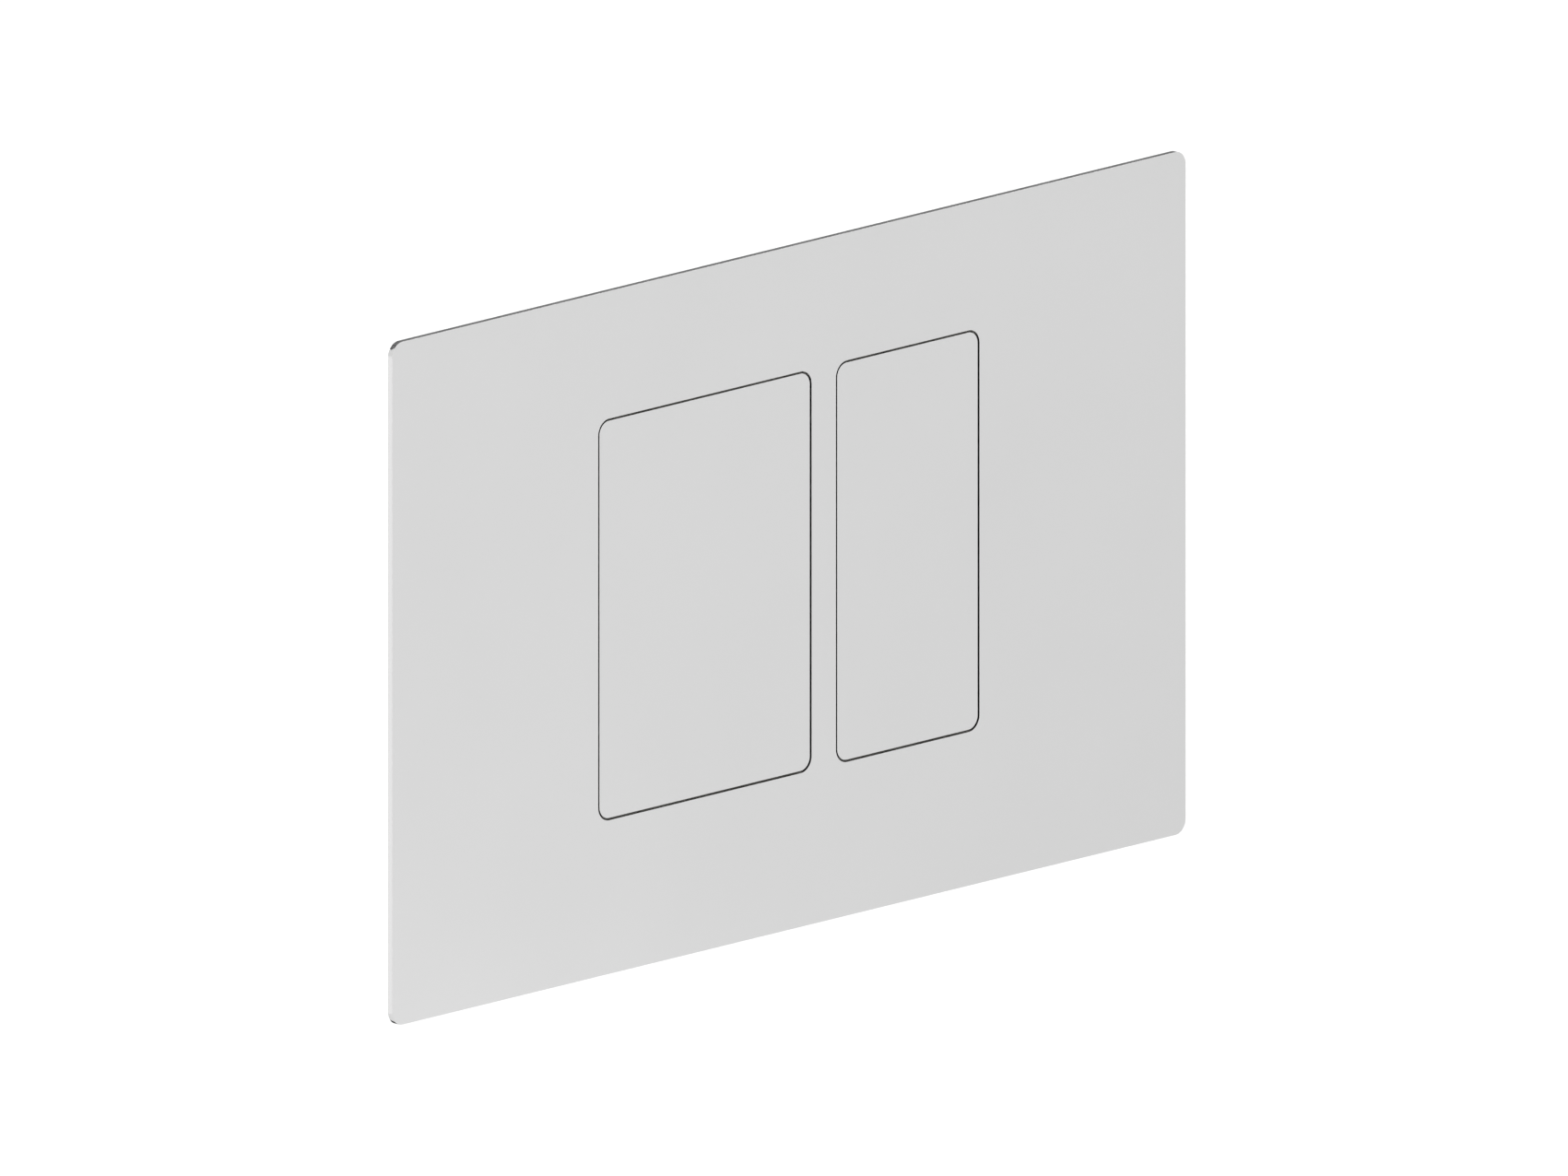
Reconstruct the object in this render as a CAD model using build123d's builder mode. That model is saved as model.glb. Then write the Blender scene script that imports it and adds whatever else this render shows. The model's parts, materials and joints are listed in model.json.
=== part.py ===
"""Dual-flush button plate for a concealed cistern.

A thin sheet-metal cover plate carries two flush sheet buttons, a wide one for the
full flush and a narrow one for the half flush. Each button is bonded to a moulded
rocker that swings on a hinge rod near its top edge, is returned by a torsion spring
and pushes a rod back into the cistern. The carrier behind the plate snaps into a
mounting frame that two studs hold in the wall opening.

Millimetres. X runs to the right as seen from the front, Z is up and +Y goes into the
wall. The origin is the middle of the plate on the finished wall surface.
"""

import os
from dataclasses import dataclass
from math import cos, pi, radians, sin

from build123d import *

# Cover plate
PLATE_WIDTH = 230.0
PLATE_HEIGHT = 144.4
PLATE_CORNER = 3.0
SHEET = 1.25  # thickness of the plate and of the button faces
ARRIS = 0.12  # broken edge of the plate's front outline
WINDOW_BREAK = 0.06  # broken edge round the windows and the button faces
SEAL = 0.8  # thickness of the wall seal under load
SEAL_INSET = 2.0  # from the plate's outline to the seal
SEAL_STRIP = 6.0  # width of the seal
TAPE = 0.6  # thickness of the bonding tape
FACE_TAPE = 0.8  # thickness of the tape behind a button face
TAPE_INSET = 1.0  # tape inside the edges of the piece behind it

# Buttons in the plate
FULL_WIDTH = 60.95
HALF_WIDTH = 40.7
TOP_MARGIN = 27.0  # plate above the windows
BOTTOM_MARGIN = 32.5  # plate below the windows
BUTTON_CORNER = 2.7
BUTTON_GAP = 0.45  # between a button and its window, all round
BUTTON_RECESS = 0.1  # button faces behind the front of the plate
WINDOW_WEB = 7.05  # plate left standing between the two windows

# Frame outline that fits the wall opening
FRAME_COVER_SIDE = 22.0  # plate beyond the wall opening at each side
FRAME_COVER_EDGE = 13.5  # plate beyond the wall opening above and below
FRAME_CORNER = 6.0
FRAME_WALL = 2.0
NEST_GAP = 0.6  # between the mounting frame's wall and the carrier's wall
SEAT_GAP = 0.3  # between faces that stop just short of each other

# Button carrier
CARRIER_FLANGE = 2.0
CARRIER_WALL = 1.8
CARRIER_DEPTH = 10.0  # from the wall surface to the rear edge of the carrier's wall
RIB = 1.6  # rib thickness
CARRIER_RIB_DEPTH = 7.0  # rear edge of the carrier's ribs
SIDE_RIB_RISE = 32.0  # side ribs above and below the middle of the plate

# Snap hooks between the carrier and the mounting frame
HOOK_SPREAD = 124.0  # between the two hooks on one long wall
HOOK_WIDTH = 12.0
HOOK_BITE = 1.5  # how far a barb stands out of the carrier's wall
HOOK_BACK = 8.6  # rear end of the barb's ramp
HOOK_LENGTH = 3.4
HOOK_SLOT = 1.4  # slits beside each hook that let it flex
CATCH_PLAY = 0.4  # play of a barb in its catch window

# Hinge
HINGE_DEPTH = 6.0  # hinge axis behind the wall surface
HINGE_DROP = 6.65  # hinge axis below the window's top edge
HINGE_RADIUS = 1.5
PRESS_ANGLE = 4.0  # full travel of a rocker, degrees
BEARING_PLAY = 0.02  # rod in the carrier's bearings
RUNNING_PLAY = 0.05  # rocker eyes on the hinge rod, push rods in their guides
LUG_RADIUS = 3.4
LUG_WIDTH = 5.0
LUG_CAP = 1.4  # closed end of an outer bearing
LUG_MOUTH = 2.4  # snap mouth of a bearing, narrower than the rod
EYE_WIDTH = 5.0
EYE_WALL = 1.9

# Rockers
ROCKER_LAP = 0.45  # rocker's rim behind the plate, beyond the window's edge
ROCKER_SWING = 0.6  # between the rocker's rim and the carrier's window
ROCKER_SKIN = 2.0
ROCKER_RIB_DEPTH = 6.0  # rear edge of the rocker's ribs
ROCKER_CROSS_RIBS = 3
STOP_TAB_WIDTH = 9.0
STOP_TAB_THICKNESS = 2.0
STOP_TAB_REACH = 4.0  # a tab's overlap with the carrier below the window
STOP_TAB_EDGE = 6.0  # from the rocker's edge to a tab
STOP_PAD = 1.0  # rubber pad thickness
BOSS_RADIUS = 4.5

# Torsion springs on the hinge rod
WIRE = 0.8
COIL_RADIUS = 2.1  # to the middle of the wire
COIL_TURNS = 3
COIL_FACETS = 10  # straight steps in one turn
WIRE_SIDES = 8
COIL_PITCH = 0.95
SPRING_LEG_DOWN = 20.0  # lower leg, along the back of the rocker
SPRING_CLEAR = 3.5  # upper leg short of the carrier's top wall
SPRING_SEAT_WIDTH = 5.0
SPRING_SEAT_LENGTH = 3.0
SPRING_NOTCH = 5.0  # gap in the rocker's top rib for the upper leg

# Push rods
ROD_SPREAD = 42.0  # between the two push rods
ROD_DROP = 20.0  # push rods below the middle of the plate
ROD_RADIUS = 2.5
ROD_END = 78.0  # tip of the push rods behind the wall surface
TIP_RADIUS = 2.0
TIP_LENGTH = 18.0
TIP_CHAMFER = 0.6
CAP_RADIUS = 5.0
CAP_LENGTH = 5.0
CAP_SIDES = 8
CAP_CROWN = 1.1  # bevel of the cap's front
CAP_GRIP = 3.0  # depth of the rod in its cap

# Mounting frame
FRAME_FLANGE = 2.5  # thickness of the rear flange and the cross bar
FLANGE_WIDTH = 10.0
BAR_HEIGHT = 24.0
LIP_DEPTH = 3.0  # stiffening lip round the frame's openings
GUIDE_RADIUS = 5.0
GUIDE_LENGTH = 12.0  # guide tube behind the cross bar
GUSSET_REACH = 4.0

# Fixing studs and their nuts
STUD_EDGE = 17.0  # stud inside the frame's outer side
STUD_RADIUS = 3.0  # rear thread, into the cistern
STUD_LENGTH = 12.0  # rear thread
STUD_CHAMFER = 0.8
STUD_NECK_RADIUS = 2.5  # front thread, for the nut
STUD_COLLAR_RADIUS = 5.5
STUD_COLLAR = 2.2
STUD_PROUD = 1.5  # front thread in front of the nut
STUD_SLOT_PLAY = 0.2
STUD_SLOT_LENGTH = 11.0
EAR_HEIGHT = 38.0
EAR_MARGIN = 8.0  # ear beyond the stud, towards the middle
NUT_RADIUS = 8.0
NUT_SIDES = 8
NUT_LENGTH = 4.5
NUT_BEVEL = 0.8
NUT_WASHER_RADIUS = 9.0
NUT_WASHER = 1.0

# Depths worked out from the sizes above, along +Y
PLATE_BACK = -SEAL
CARRIER_FRONT = PLATE_BACK + TAPE
FLANGE_BACK = CARRIER_FRONT + CARRIER_FLANGE
FACE_BACK = PLATE_BACK + BUTTON_RECESS
ROCKER_FRONT = FACE_BACK + FACE_TAPE
SKIN_BACK = ROCKER_FRONT + ROCKER_SKIN
TAB_FRONT = FLANGE_BACK + STOP_PAD
BOSS_END = ROCKER_RIB_DEPTH + SEAT_GAP
CAP_FRONT = BOSS_END + SEAT_GAP
FRAME_FRONT = FLANGE_BACK + SEAT_GAP

# Places worked out from the sizes above, along X and Z
ROCKER_RIM = BUTTON_GAP + ROCKER_LAP  # rocker beyond the edge of its button face
CARRIER_SWING = ROCKER_LAP + ROCKER_SWING  # carrier windows beyond the plate windows
WINDOW_TOP = PLATE_HEIGHT / 2 - TOP_MARGIN
WINDOW_BOTTOM = BOTTOM_MARGIN - PLATE_HEIGHT / 2
BUTTON_HEIGHT = WINDOW_TOP - WINDOW_BOTTOM - 2 * BUTTON_GAP
BUTTON_RISE = (WINDOW_TOP + WINDOW_BOTTOM) / 2
HINGE_Z = WINDOW_TOP - HINGE_DROP
ROD_Z = -ROD_DROP
ROD_TRAVEL = (HINGE_Z - ROD_Z) * radians(PRESS_ANGLE)
BAR_FRONT = CAP_FRONT + CAP_LENGTH + ROD_TRAVEL + SEAT_GAP
FRAME_BACK = BAR_FRONT + FRAME_FLANGE
FRAME_WIDTH = PLATE_WIDTH - 2 * FRAME_COVER_SIDE
FRAME_HEIGHT = PLATE_HEIGHT - 2 * FRAME_COVER_EDGE
STUD_SPREAD = FRAME_WIDTH - 2 * STUD_EDGE
CARRIER_WIDTH = FRAME_WIDTH - 2 * (FRAME_WALL + NEST_GAP)
CARRIER_HEIGHT = FRAME_HEIGHT - 2 * (FRAME_WALL + NEST_GAP)
CARRIER_CORNER = FRAME_CORNER - FRAME_WALL - NEST_GAP
GROUP_WIDTH = FULL_WIDTH + HALF_WIDTH + 4 * BUTTON_GAP + WINDOW_WEB
CARRIER_EDGE = GROUP_WIDTH / 2 + CARRIER_SWING  # outer edge of the carrier windows
WEB_X = FULL_WIDTH + 2 * BUTTON_GAP + WINDOW_WEB / 2 - GROUP_WIDTH / 2
CARRIER_WEB = WINDOW_WEB - 2 * CARRIER_SWING
OUTER_LUG_X = CARRIER_EDGE + LUG_WIDTH / 2
SPRING_FRONT = HINGE_DEPTH - COIL_RADIUS - WIRE / 2  # front of both spring legs
SPRING_LEG_UP = CARRIER_HEIGHT / 2 - CARRIER_WALL - SPRING_CLEAR - HINGE_Z
COIL_LENGTH = COIL_PITCH * COIL_TURNS
UPPER_LEG_X = -COIL_LENGTH / 2  # from the middle of the button
LOWER_LEG_X = COIL_LENGTH / 2
EYE_RADIUS = HINGE_RADIUS + EYE_WALL


@dataclass(frozen=True)
class Button:
    """One flush button: its name, the width of its face, its middle and its rod, along X."""

    name: str
    width: float
    middle: float
    rod_x: float

    @property
    def rocker_width(self):
        return self.width + 2 * ROCKER_RIM


BUTTONS = (
    Button(
        "full_flush",
        FULL_WIDTH,
        FULL_WIDTH / 2 + BUTTON_GAP - GROUP_WIDTH / 2,
        -ROD_SPREAD / 2,
    ),
    Button(
        "half_flush",
        HALF_WIDTH,
        GROUP_WIDTH / 2 - BUTTON_GAP - HALF_WIDTH / 2,
        ROD_SPREAD / 2,
    ),
)
ROCKER_HEIGHT = BUTTON_HEIGHT + 2 * ROCKER_RIM
ROCKER_TOP = BUTTON_RISE + ROCKER_HEIGHT / 2
ROCKER_BOTTOM = BUTTON_RISE - ROCKER_HEIGHT / 2
STUD_PLACES = (("left", -STUD_SPREAD / 2), ("right", STUD_SPREAD / 2))


def wall_plane(depth):
    """Plane parallel to the wall, with X and Z in it. Extrusions grow towards the front."""
    return Plane.XZ.offset(-depth)


def side_plane(x):
    """Plane square to the hinge rod, with Y and Z in it."""
    return Plane.YZ.offset(x)


def window(button, margin):
    """Window outline round a button, larger than its face by a margin all round."""
    with Locations((button.middle, BUTTON_RISE)):
        RectangleRounded(
            button.width + 2 * margin,
            BUTTON_HEIGHT + 2 * margin,
            BUTTON_CORNER + margin,
            mode=Mode.SUBTRACT,
        )


def hinge_outline(base, radius):
    """Upright from a base depth with a round end about the hinge axis."""
    with Locations((HINGE_DEPTH, HINGE_Z)):
        Circle(radius)
    with Locations(((base + HINGE_DEPTH) / 2, HINGE_Z)):
        Rectangle(HINGE_DEPTH - base, 2 * radius)


def save(part, name):
    """Labels a finished piece and writes it to its own file."""
    part.part.label = name
    export_step(part.part, f"parts/{name}.step")


os.makedirs("parts", exist_ok=True)

# Cover plate: one flat sheet with two windows
with BuildPart() as cover_plate:
    with BuildSketch(wall_plane(PLATE_BACK)):
        RectangleRounded(PLATE_WIDTH, PLATE_HEIGHT, PLATE_CORNER)
        for button in BUTTONS:
            window(button, BUTTON_GAP)
    extrude(amount=SHEET)
    front = cover_plate.faces().sort_by(Axis.Y)[0]
    chamfer(front.outer_wire().edges(), ARRIS)
    front = cover_plate.faces().sort_by(Axis.Y)[0]
    chamfer([edge for wire in front.inner_wires() for edge in wire.edges()], WINDOW_BREAK)
save(cover_plate, "cover_plate")

# Wall seal: a foam strip inside the plate's outline
with BuildPart() as wall_seal:
    with BuildSketch(wall_plane(0)):
        RectangleRounded(
            PLATE_WIDTH - 2 * SEAL_INSET,
            PLATE_HEIGHT - 2 * SEAL_INSET,
            PLATE_CORNER,
        )
        offset(amount=-SEAL_STRIP, kind=Kind.INTERSECTION, mode=Mode.SUBTRACT)
    extrude(amount=SEAL)
save(wall_seal, "wall_seal")

# Bonding tape between the cover plate and the carrier
with BuildPart() as bonding_tape:
    with BuildSketch(wall_plane(CARRIER_FRONT)):
        RectangleRounded(
            FRAME_WIDTH - 2 * TAPE_INSET,
            FRAME_HEIGHT - 2 * TAPE_INSET,
            FRAME_CORNER - TAPE_INSET,
        )
        tape_gap = 2 * (BUTTON_GAP + CARRIER_SWING + TAPE_INSET)
        for button in BUTTONS:
            with Locations((button.middle, BUTTON_RISE)):
                Rectangle(button.width + tape_gap, BUTTON_HEIGHT + tape_gap, mode=Mode.SUBTRACT)
    extrude(amount=TAPE)
save(bonding_tape, "bonding_tape")

# Button carrier: flange, nesting wall, ribs, hinge bearings, spring seats and snap hooks
with BuildPart() as button_carrier:
    with BuildSketch(wall_plane(FLANGE_BACK)):
        RectangleRounded(FRAME_WIDTH, FRAME_HEIGHT, FRAME_CORNER)
        for button in BUTTONS:
            window(button, BUTTON_GAP + CARRIER_SWING)
    extrude(amount=CARRIER_FLANGE)
    with BuildSketch(wall_plane(CARRIER_DEPTH)):
        RectangleRounded(CARRIER_WIDTH, CARRIER_HEIGHT, CARRIER_CORNER)
        offset(amount=-CARRIER_WALL, kind=Kind.INTERSECTION, mode=Mode.SUBTRACT)
    extrude(amount=CARRIER_DEPTH - FLANGE_BACK)
    with BuildSketch(wall_plane(CARRIER_RIB_DEPTH)):
        upright_x = CARRIER_EDGE + RIB / 2
        for x in (-upright_x, WEB_X, upright_x):
            with Locations((x, 0)):
                Rectangle(RIB, CARRIER_HEIGHT - CARRIER_WALL)
        side_length = (CARRIER_WIDTH - CARRIER_WALL) / 2 - upright_x
        side_middle = upright_x + side_length / 2
        with Locations((0, SIDE_RIB_RISE), (0, -SIDE_RIB_RISE)):
            with Locations((-side_middle, 0), (side_middle, 0)):
                Rectangle(side_length, RIB)
    extrude(amount=CARRIER_RIB_DEPTH - FLANGE_BACK)
    for button in BUTTONS:
        seat_z = HINGE_Z + SPRING_LEG_UP - SPRING_SEAT_LENGTH / 2
        with BuildSketch(wall_plane(SPRING_FRONT)):
            with Locations((button.middle + UPPER_LEG_X, seat_z)):
                Rectangle(SPRING_SEAT_WIDTH, SPRING_SEAT_LENGTH)
        extrude(amount=SPRING_FRONT - FLANGE_BACK)
    bearings = (
        (-OUTER_LUG_X, LUG_WIDTH),
        (WEB_X, CARRIER_WEB),
        (OUTER_LUG_X, LUG_WIDTH),
    )
    for x, width in bearings:
        with BuildSketch(side_plane(x)):
            hinge_outline(FLANGE_BACK, LUG_RADIUS)
        extrude(amount=width / 2, both=True)
    bore_length = 2 * OUTER_LUG_X + LUG_WIDTH - 2 * LUG_CAP
    with BuildSketch(side_plane(0)):
        with Locations((HINGE_DEPTH, HINGE_Z)):
            Circle(HINGE_RADIUS + BEARING_PLAY)
        with Locations((HINGE_DEPTH + LUG_RADIUS, HINGE_Z)):
            Rectangle(2 * LUG_RADIUS, LUG_MOUTH)
    extrude(amount=bore_length / 2, both=True, mode=Mode.SUBTRACT)
    for side in (1, -1):
        wall_z = side * CARRIER_HEIGHT / 2
        barb = (
            (HOOK_BACK, wall_z),
            (HOOK_BACK - HOOK_LENGTH, wall_z + side * HOOK_BITE),
            (HOOK_BACK - HOOK_LENGTH, wall_z - side * CARRIER_WALL / 2),
            (HOOK_BACK, wall_z - side * CARRIER_WALL / 2),
        )
        for x in (-HOOK_SPREAD / 2, HOOK_SPREAD / 2):
            slit_x = (HOOK_WIDTH + HOOK_SLOT) / 2
            with BuildSketch(wall_plane(CARRIER_DEPTH)):
                with Locations((x - slit_x, wall_z), (x + slit_x, wall_z)):
                    Rectangle(HOOK_SLOT, 2 * CARRIER_WALL + SEAT_GAP)
            extrude(amount=CARRIER_DEPTH - FLANGE_BACK, mode=Mode.SUBTRACT)
            with BuildSketch(side_plane(x)):
                Polygon(*barb, align=None)
            extrude(amount=HOOK_WIDTH / 2, both=True)
save(button_carrier, "button_carrier")

# Hinge rod: one steel rod for both rockers, held in the carrier's bearings
rod_half = OUTER_LUG_X + LUG_WIDTH / 2 - LUG_CAP - SEAT_GAP
with BuildPart() as hinge_rod:
    with BuildSketch(side_plane(0)):
        with Locations((HINGE_DEPTH, HINGE_Z)):
            Circle(HINGE_RADIUS)
    extrude(amount=rod_half, both=True)
    chamfer(hinge_rod.edges().filter_by(GeomType.CIRCLE), HINGE_RADIUS / 5)
save(hinge_rod, "hinge_rod")

# Stop pads: rubber blocks on the carrier that the rockers' tabs rest on
tab_offset = {b.name: b.rocker_width / 2 - STOP_TAB_EDGE - STOP_TAB_WIDTH / 2 for b in BUTTONS}
PAD_TOP = WINDOW_BOTTOM - CARRIER_SWING
with BuildPart() as stop_pads:
    with BuildSketch(wall_plane(TAB_FRONT)):
        for button in BUTTONS:
            for side in (-1, 1):
                with Locations((button.middle + side * tab_offset[button.name], PAD_TOP)):
                    Rectangle(STOP_TAB_WIDTH, STOP_TAB_REACH, align=(Align.CENTER, Align.MAX))
    extrude(amount=STOP_PAD)
save(stop_pads, "stop_pads")

# Mounting frame: ring wall, rear flange, ears with stud slots, cross bar with rod guides
with BuildPart() as mounting_frame:
    with BuildSketch(wall_plane(FRAME_BACK)):
        RectangleRounded(FRAME_WIDTH, FRAME_HEIGHT, FRAME_CORNER)
        offset(amount=-FRAME_WALL, kind=Kind.INTERSECTION, mode=Mode.SUBTRACT)
    extrude(amount=FRAME_BACK - FRAME_FRONT)
    with BuildSketch(wall_plane(FRAME_BACK)):
        RectangleRounded(FRAME_WIDTH, FRAME_HEIGHT, FRAME_CORNER)
        offset(amount=-FLANGE_WIDTH, kind=Kind.INTERSECTION, mode=Mode.SUBTRACT)
        with Locations((0, ROD_Z)):
            Rectangle(FRAME_WIDTH - FRAME_WALL, BAR_HEIGHT)
        ear_inner = STUD_SPREAD / 2 - NUT_WASHER_RADIUS - EAR_MARGIN
        ear_width = (FRAME_WIDTH - FRAME_WALL) / 2 - ear_inner
        ear_x = ear_inner + ear_width / 2
        with Locations((-ear_x, 0), (ear_x, 0)):
            Rectangle(ear_width, EAR_HEIGHT)
        with Locations((-STUD_SPREAD / 2, 0), (STUD_SPREAD / 2, 0)):
            SlotOverall(
                STUD_SLOT_LENGTH,
                2 * (STUD_NECK_RADIUS + STUD_SLOT_PLAY),
                mode=Mode.SUBTRACT,
            )
    extrude(amount=FRAME_FLANGE)
    open_x = FRAME_WIDTH / 2 - FLANGE_WIDTH
    open_z = FRAME_HEIGHT / 2 - FLANGE_WIDTH
    bar_top = ROD_Z + BAR_HEIGHT / 2
    bar_bottom = ROD_Z - BAR_HEIGHT / 2
    ear_top = EAR_HEIGHT / 2
    upper_opening = (
        (-open_x, open_z),
        (-open_x, ear_top),
        (-ear_inner, ear_top),
        (-ear_inner, bar_top),
        (ear_inner, bar_top),
        (ear_inner, ear_top),
        (open_x, ear_top),
        (open_x, open_z),
    )
    lower_opening = (
        (-open_x, bar_bottom),
        (-open_x, -open_z),
        (open_x, -open_z),
        (open_x, bar_bottom),
    )
    for opening in (upper_opening, lower_opening):
        with BuildSketch(wall_plane(FRAME_BACK + LIP_DEPTH)):
            Polygon(*opening, align=None)
            offset(amount=RIB, kind=Kind.INTERSECTION)
            Polygon(*opening, align=None, mode=Mode.SUBTRACT)
        extrude(amount=LIP_DEPTH)
    with BuildSketch(wall_plane(FRAME_BACK + LIP_DEPTH)):
        with Locations((-ROD_SPREAD, ROD_Z), (0, ROD_Z), (ROD_SPREAD, ROD_Z)):
            Rectangle(RIB, BAR_HEIGHT - RIB)
    extrude(amount=LIP_DEPTH)
    with BuildSketch(wall_plane(FRAME_BACK + GUIDE_LENGTH)):
        for button in BUTTONS:
            with Locations((button.rod_x, ROD_Z)):
                Circle(GUIDE_RADIUS)
    extrude(amount=GUIDE_LENGTH)
    for button in BUTTONS:
        for turn in (0, 180):
            with BuildSketch(Plane((button.rod_x, 0, ROD_Z)).rotated((0, turn, 0))):
                Polygon(
                    (0, FRAME_BACK),
                    (GUIDE_RADIUS + GUSSET_REACH, FRAME_BACK),
                    (GUIDE_RADIUS, FRAME_BACK + GUIDE_LENGTH - GUSSET_REACH),
                    (0, FRAME_BACK + GUIDE_LENGTH - GUSSET_REACH),
                    align=None,
                )
            extrude(amount=RIB / 2, both=True)
    with BuildSketch(wall_plane(FRAME_BACK + GUIDE_LENGTH)):
        for button in BUTTONS:
            with Locations((button.rod_x, ROD_Z)):
                Circle(ROD_RADIUS + RUNNING_PLAY)
    extrude(amount=GUIDE_LENGTH + FRAME_FLANGE, mode=Mode.SUBTRACT)
    with BuildSketch(wall_plane(HOOK_BACK + CATCH_PLAY)):
        catch_z = (FRAME_HEIGHT - FRAME_WALL) / 2
        for z in (-catch_z, catch_z):
            with Locations((-HOOK_SPREAD / 2, z), (HOOK_SPREAD / 2, z)):
                Rectangle(HOOK_WIDTH + 2 * CATCH_PLAY, 2 * FRAME_WALL)
    extrude(amount=HOOK_LENGTH + 2 * CATCH_PLAY, mode=Mode.SUBTRACT)
save(mounting_frame, "mounting_frame")

# Fixing studs: front thread for the nut, a collar behind the frame, rear thread for the cistern
NUT_FRONT = BAR_FRONT - NUT_WASHER - NUT_LENGTH
COLLAR_BACK = FRAME_BACK + STUD_COLLAR
for side, x in STUD_PLACES:
    with BuildPart() as fixing_stud:
        with BuildSketch(wall_plane(FRAME_BACK)):
            with Locations((x, 0)):
                Circle(STUD_NECK_RADIUS)
        extrude(amount=FRAME_BACK - NUT_FRONT + STUD_PROUD)
        with BuildSketch(wall_plane(COLLAR_BACK)):
            with Locations((x, 0)):
                RegularPolygon(STUD_COLLAR_RADIUS, 6)
        extrude(amount=STUD_COLLAR)
        with BuildSketch(wall_plane(COLLAR_BACK + STUD_LENGTH)):
            with Locations((x, 0)):
                Circle(STUD_RADIUS)
        extrude(amount=STUD_LENGTH)
        rear_end = fixing_stud.edges().filter_by(GeomType.CIRCLE).group_by(Axis.Y)[-1]
        chamfer(rear_end, STUD_CHAMFER)
    save(fixing_stud, f"{side}_fixing_stud")

    with BuildPart() as clamp_nut:
        with BuildSketch(wall_plane(BAR_FRONT)):
            with Locations((x, 0)):
                Circle(NUT_WASHER_RADIUS)
        extrude(amount=NUT_WASHER)
        with BuildSketch(wall_plane(BAR_FRONT - NUT_WASHER)):
            with Locations((x, 0)):
                RegularPolygon(NUT_RADIUS, NUT_SIDES)
        extrude(amount=NUT_LENGTH)
        chamfer(clamp_nut.faces().sort_by(Axis.Y)[0].edges(), NUT_BEVEL)
        with BuildSketch(wall_plane(BAR_FRONT)):
            with Locations((x, 0)):
                Circle(STUD_NECK_RADIUS + BEARING_PLAY)
        extrude(amount=NUT_WASHER + NUT_LENGTH, mode=Mode.SUBTRACT)
    save(clamp_nut, f"{side}_clamp_nut")

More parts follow.
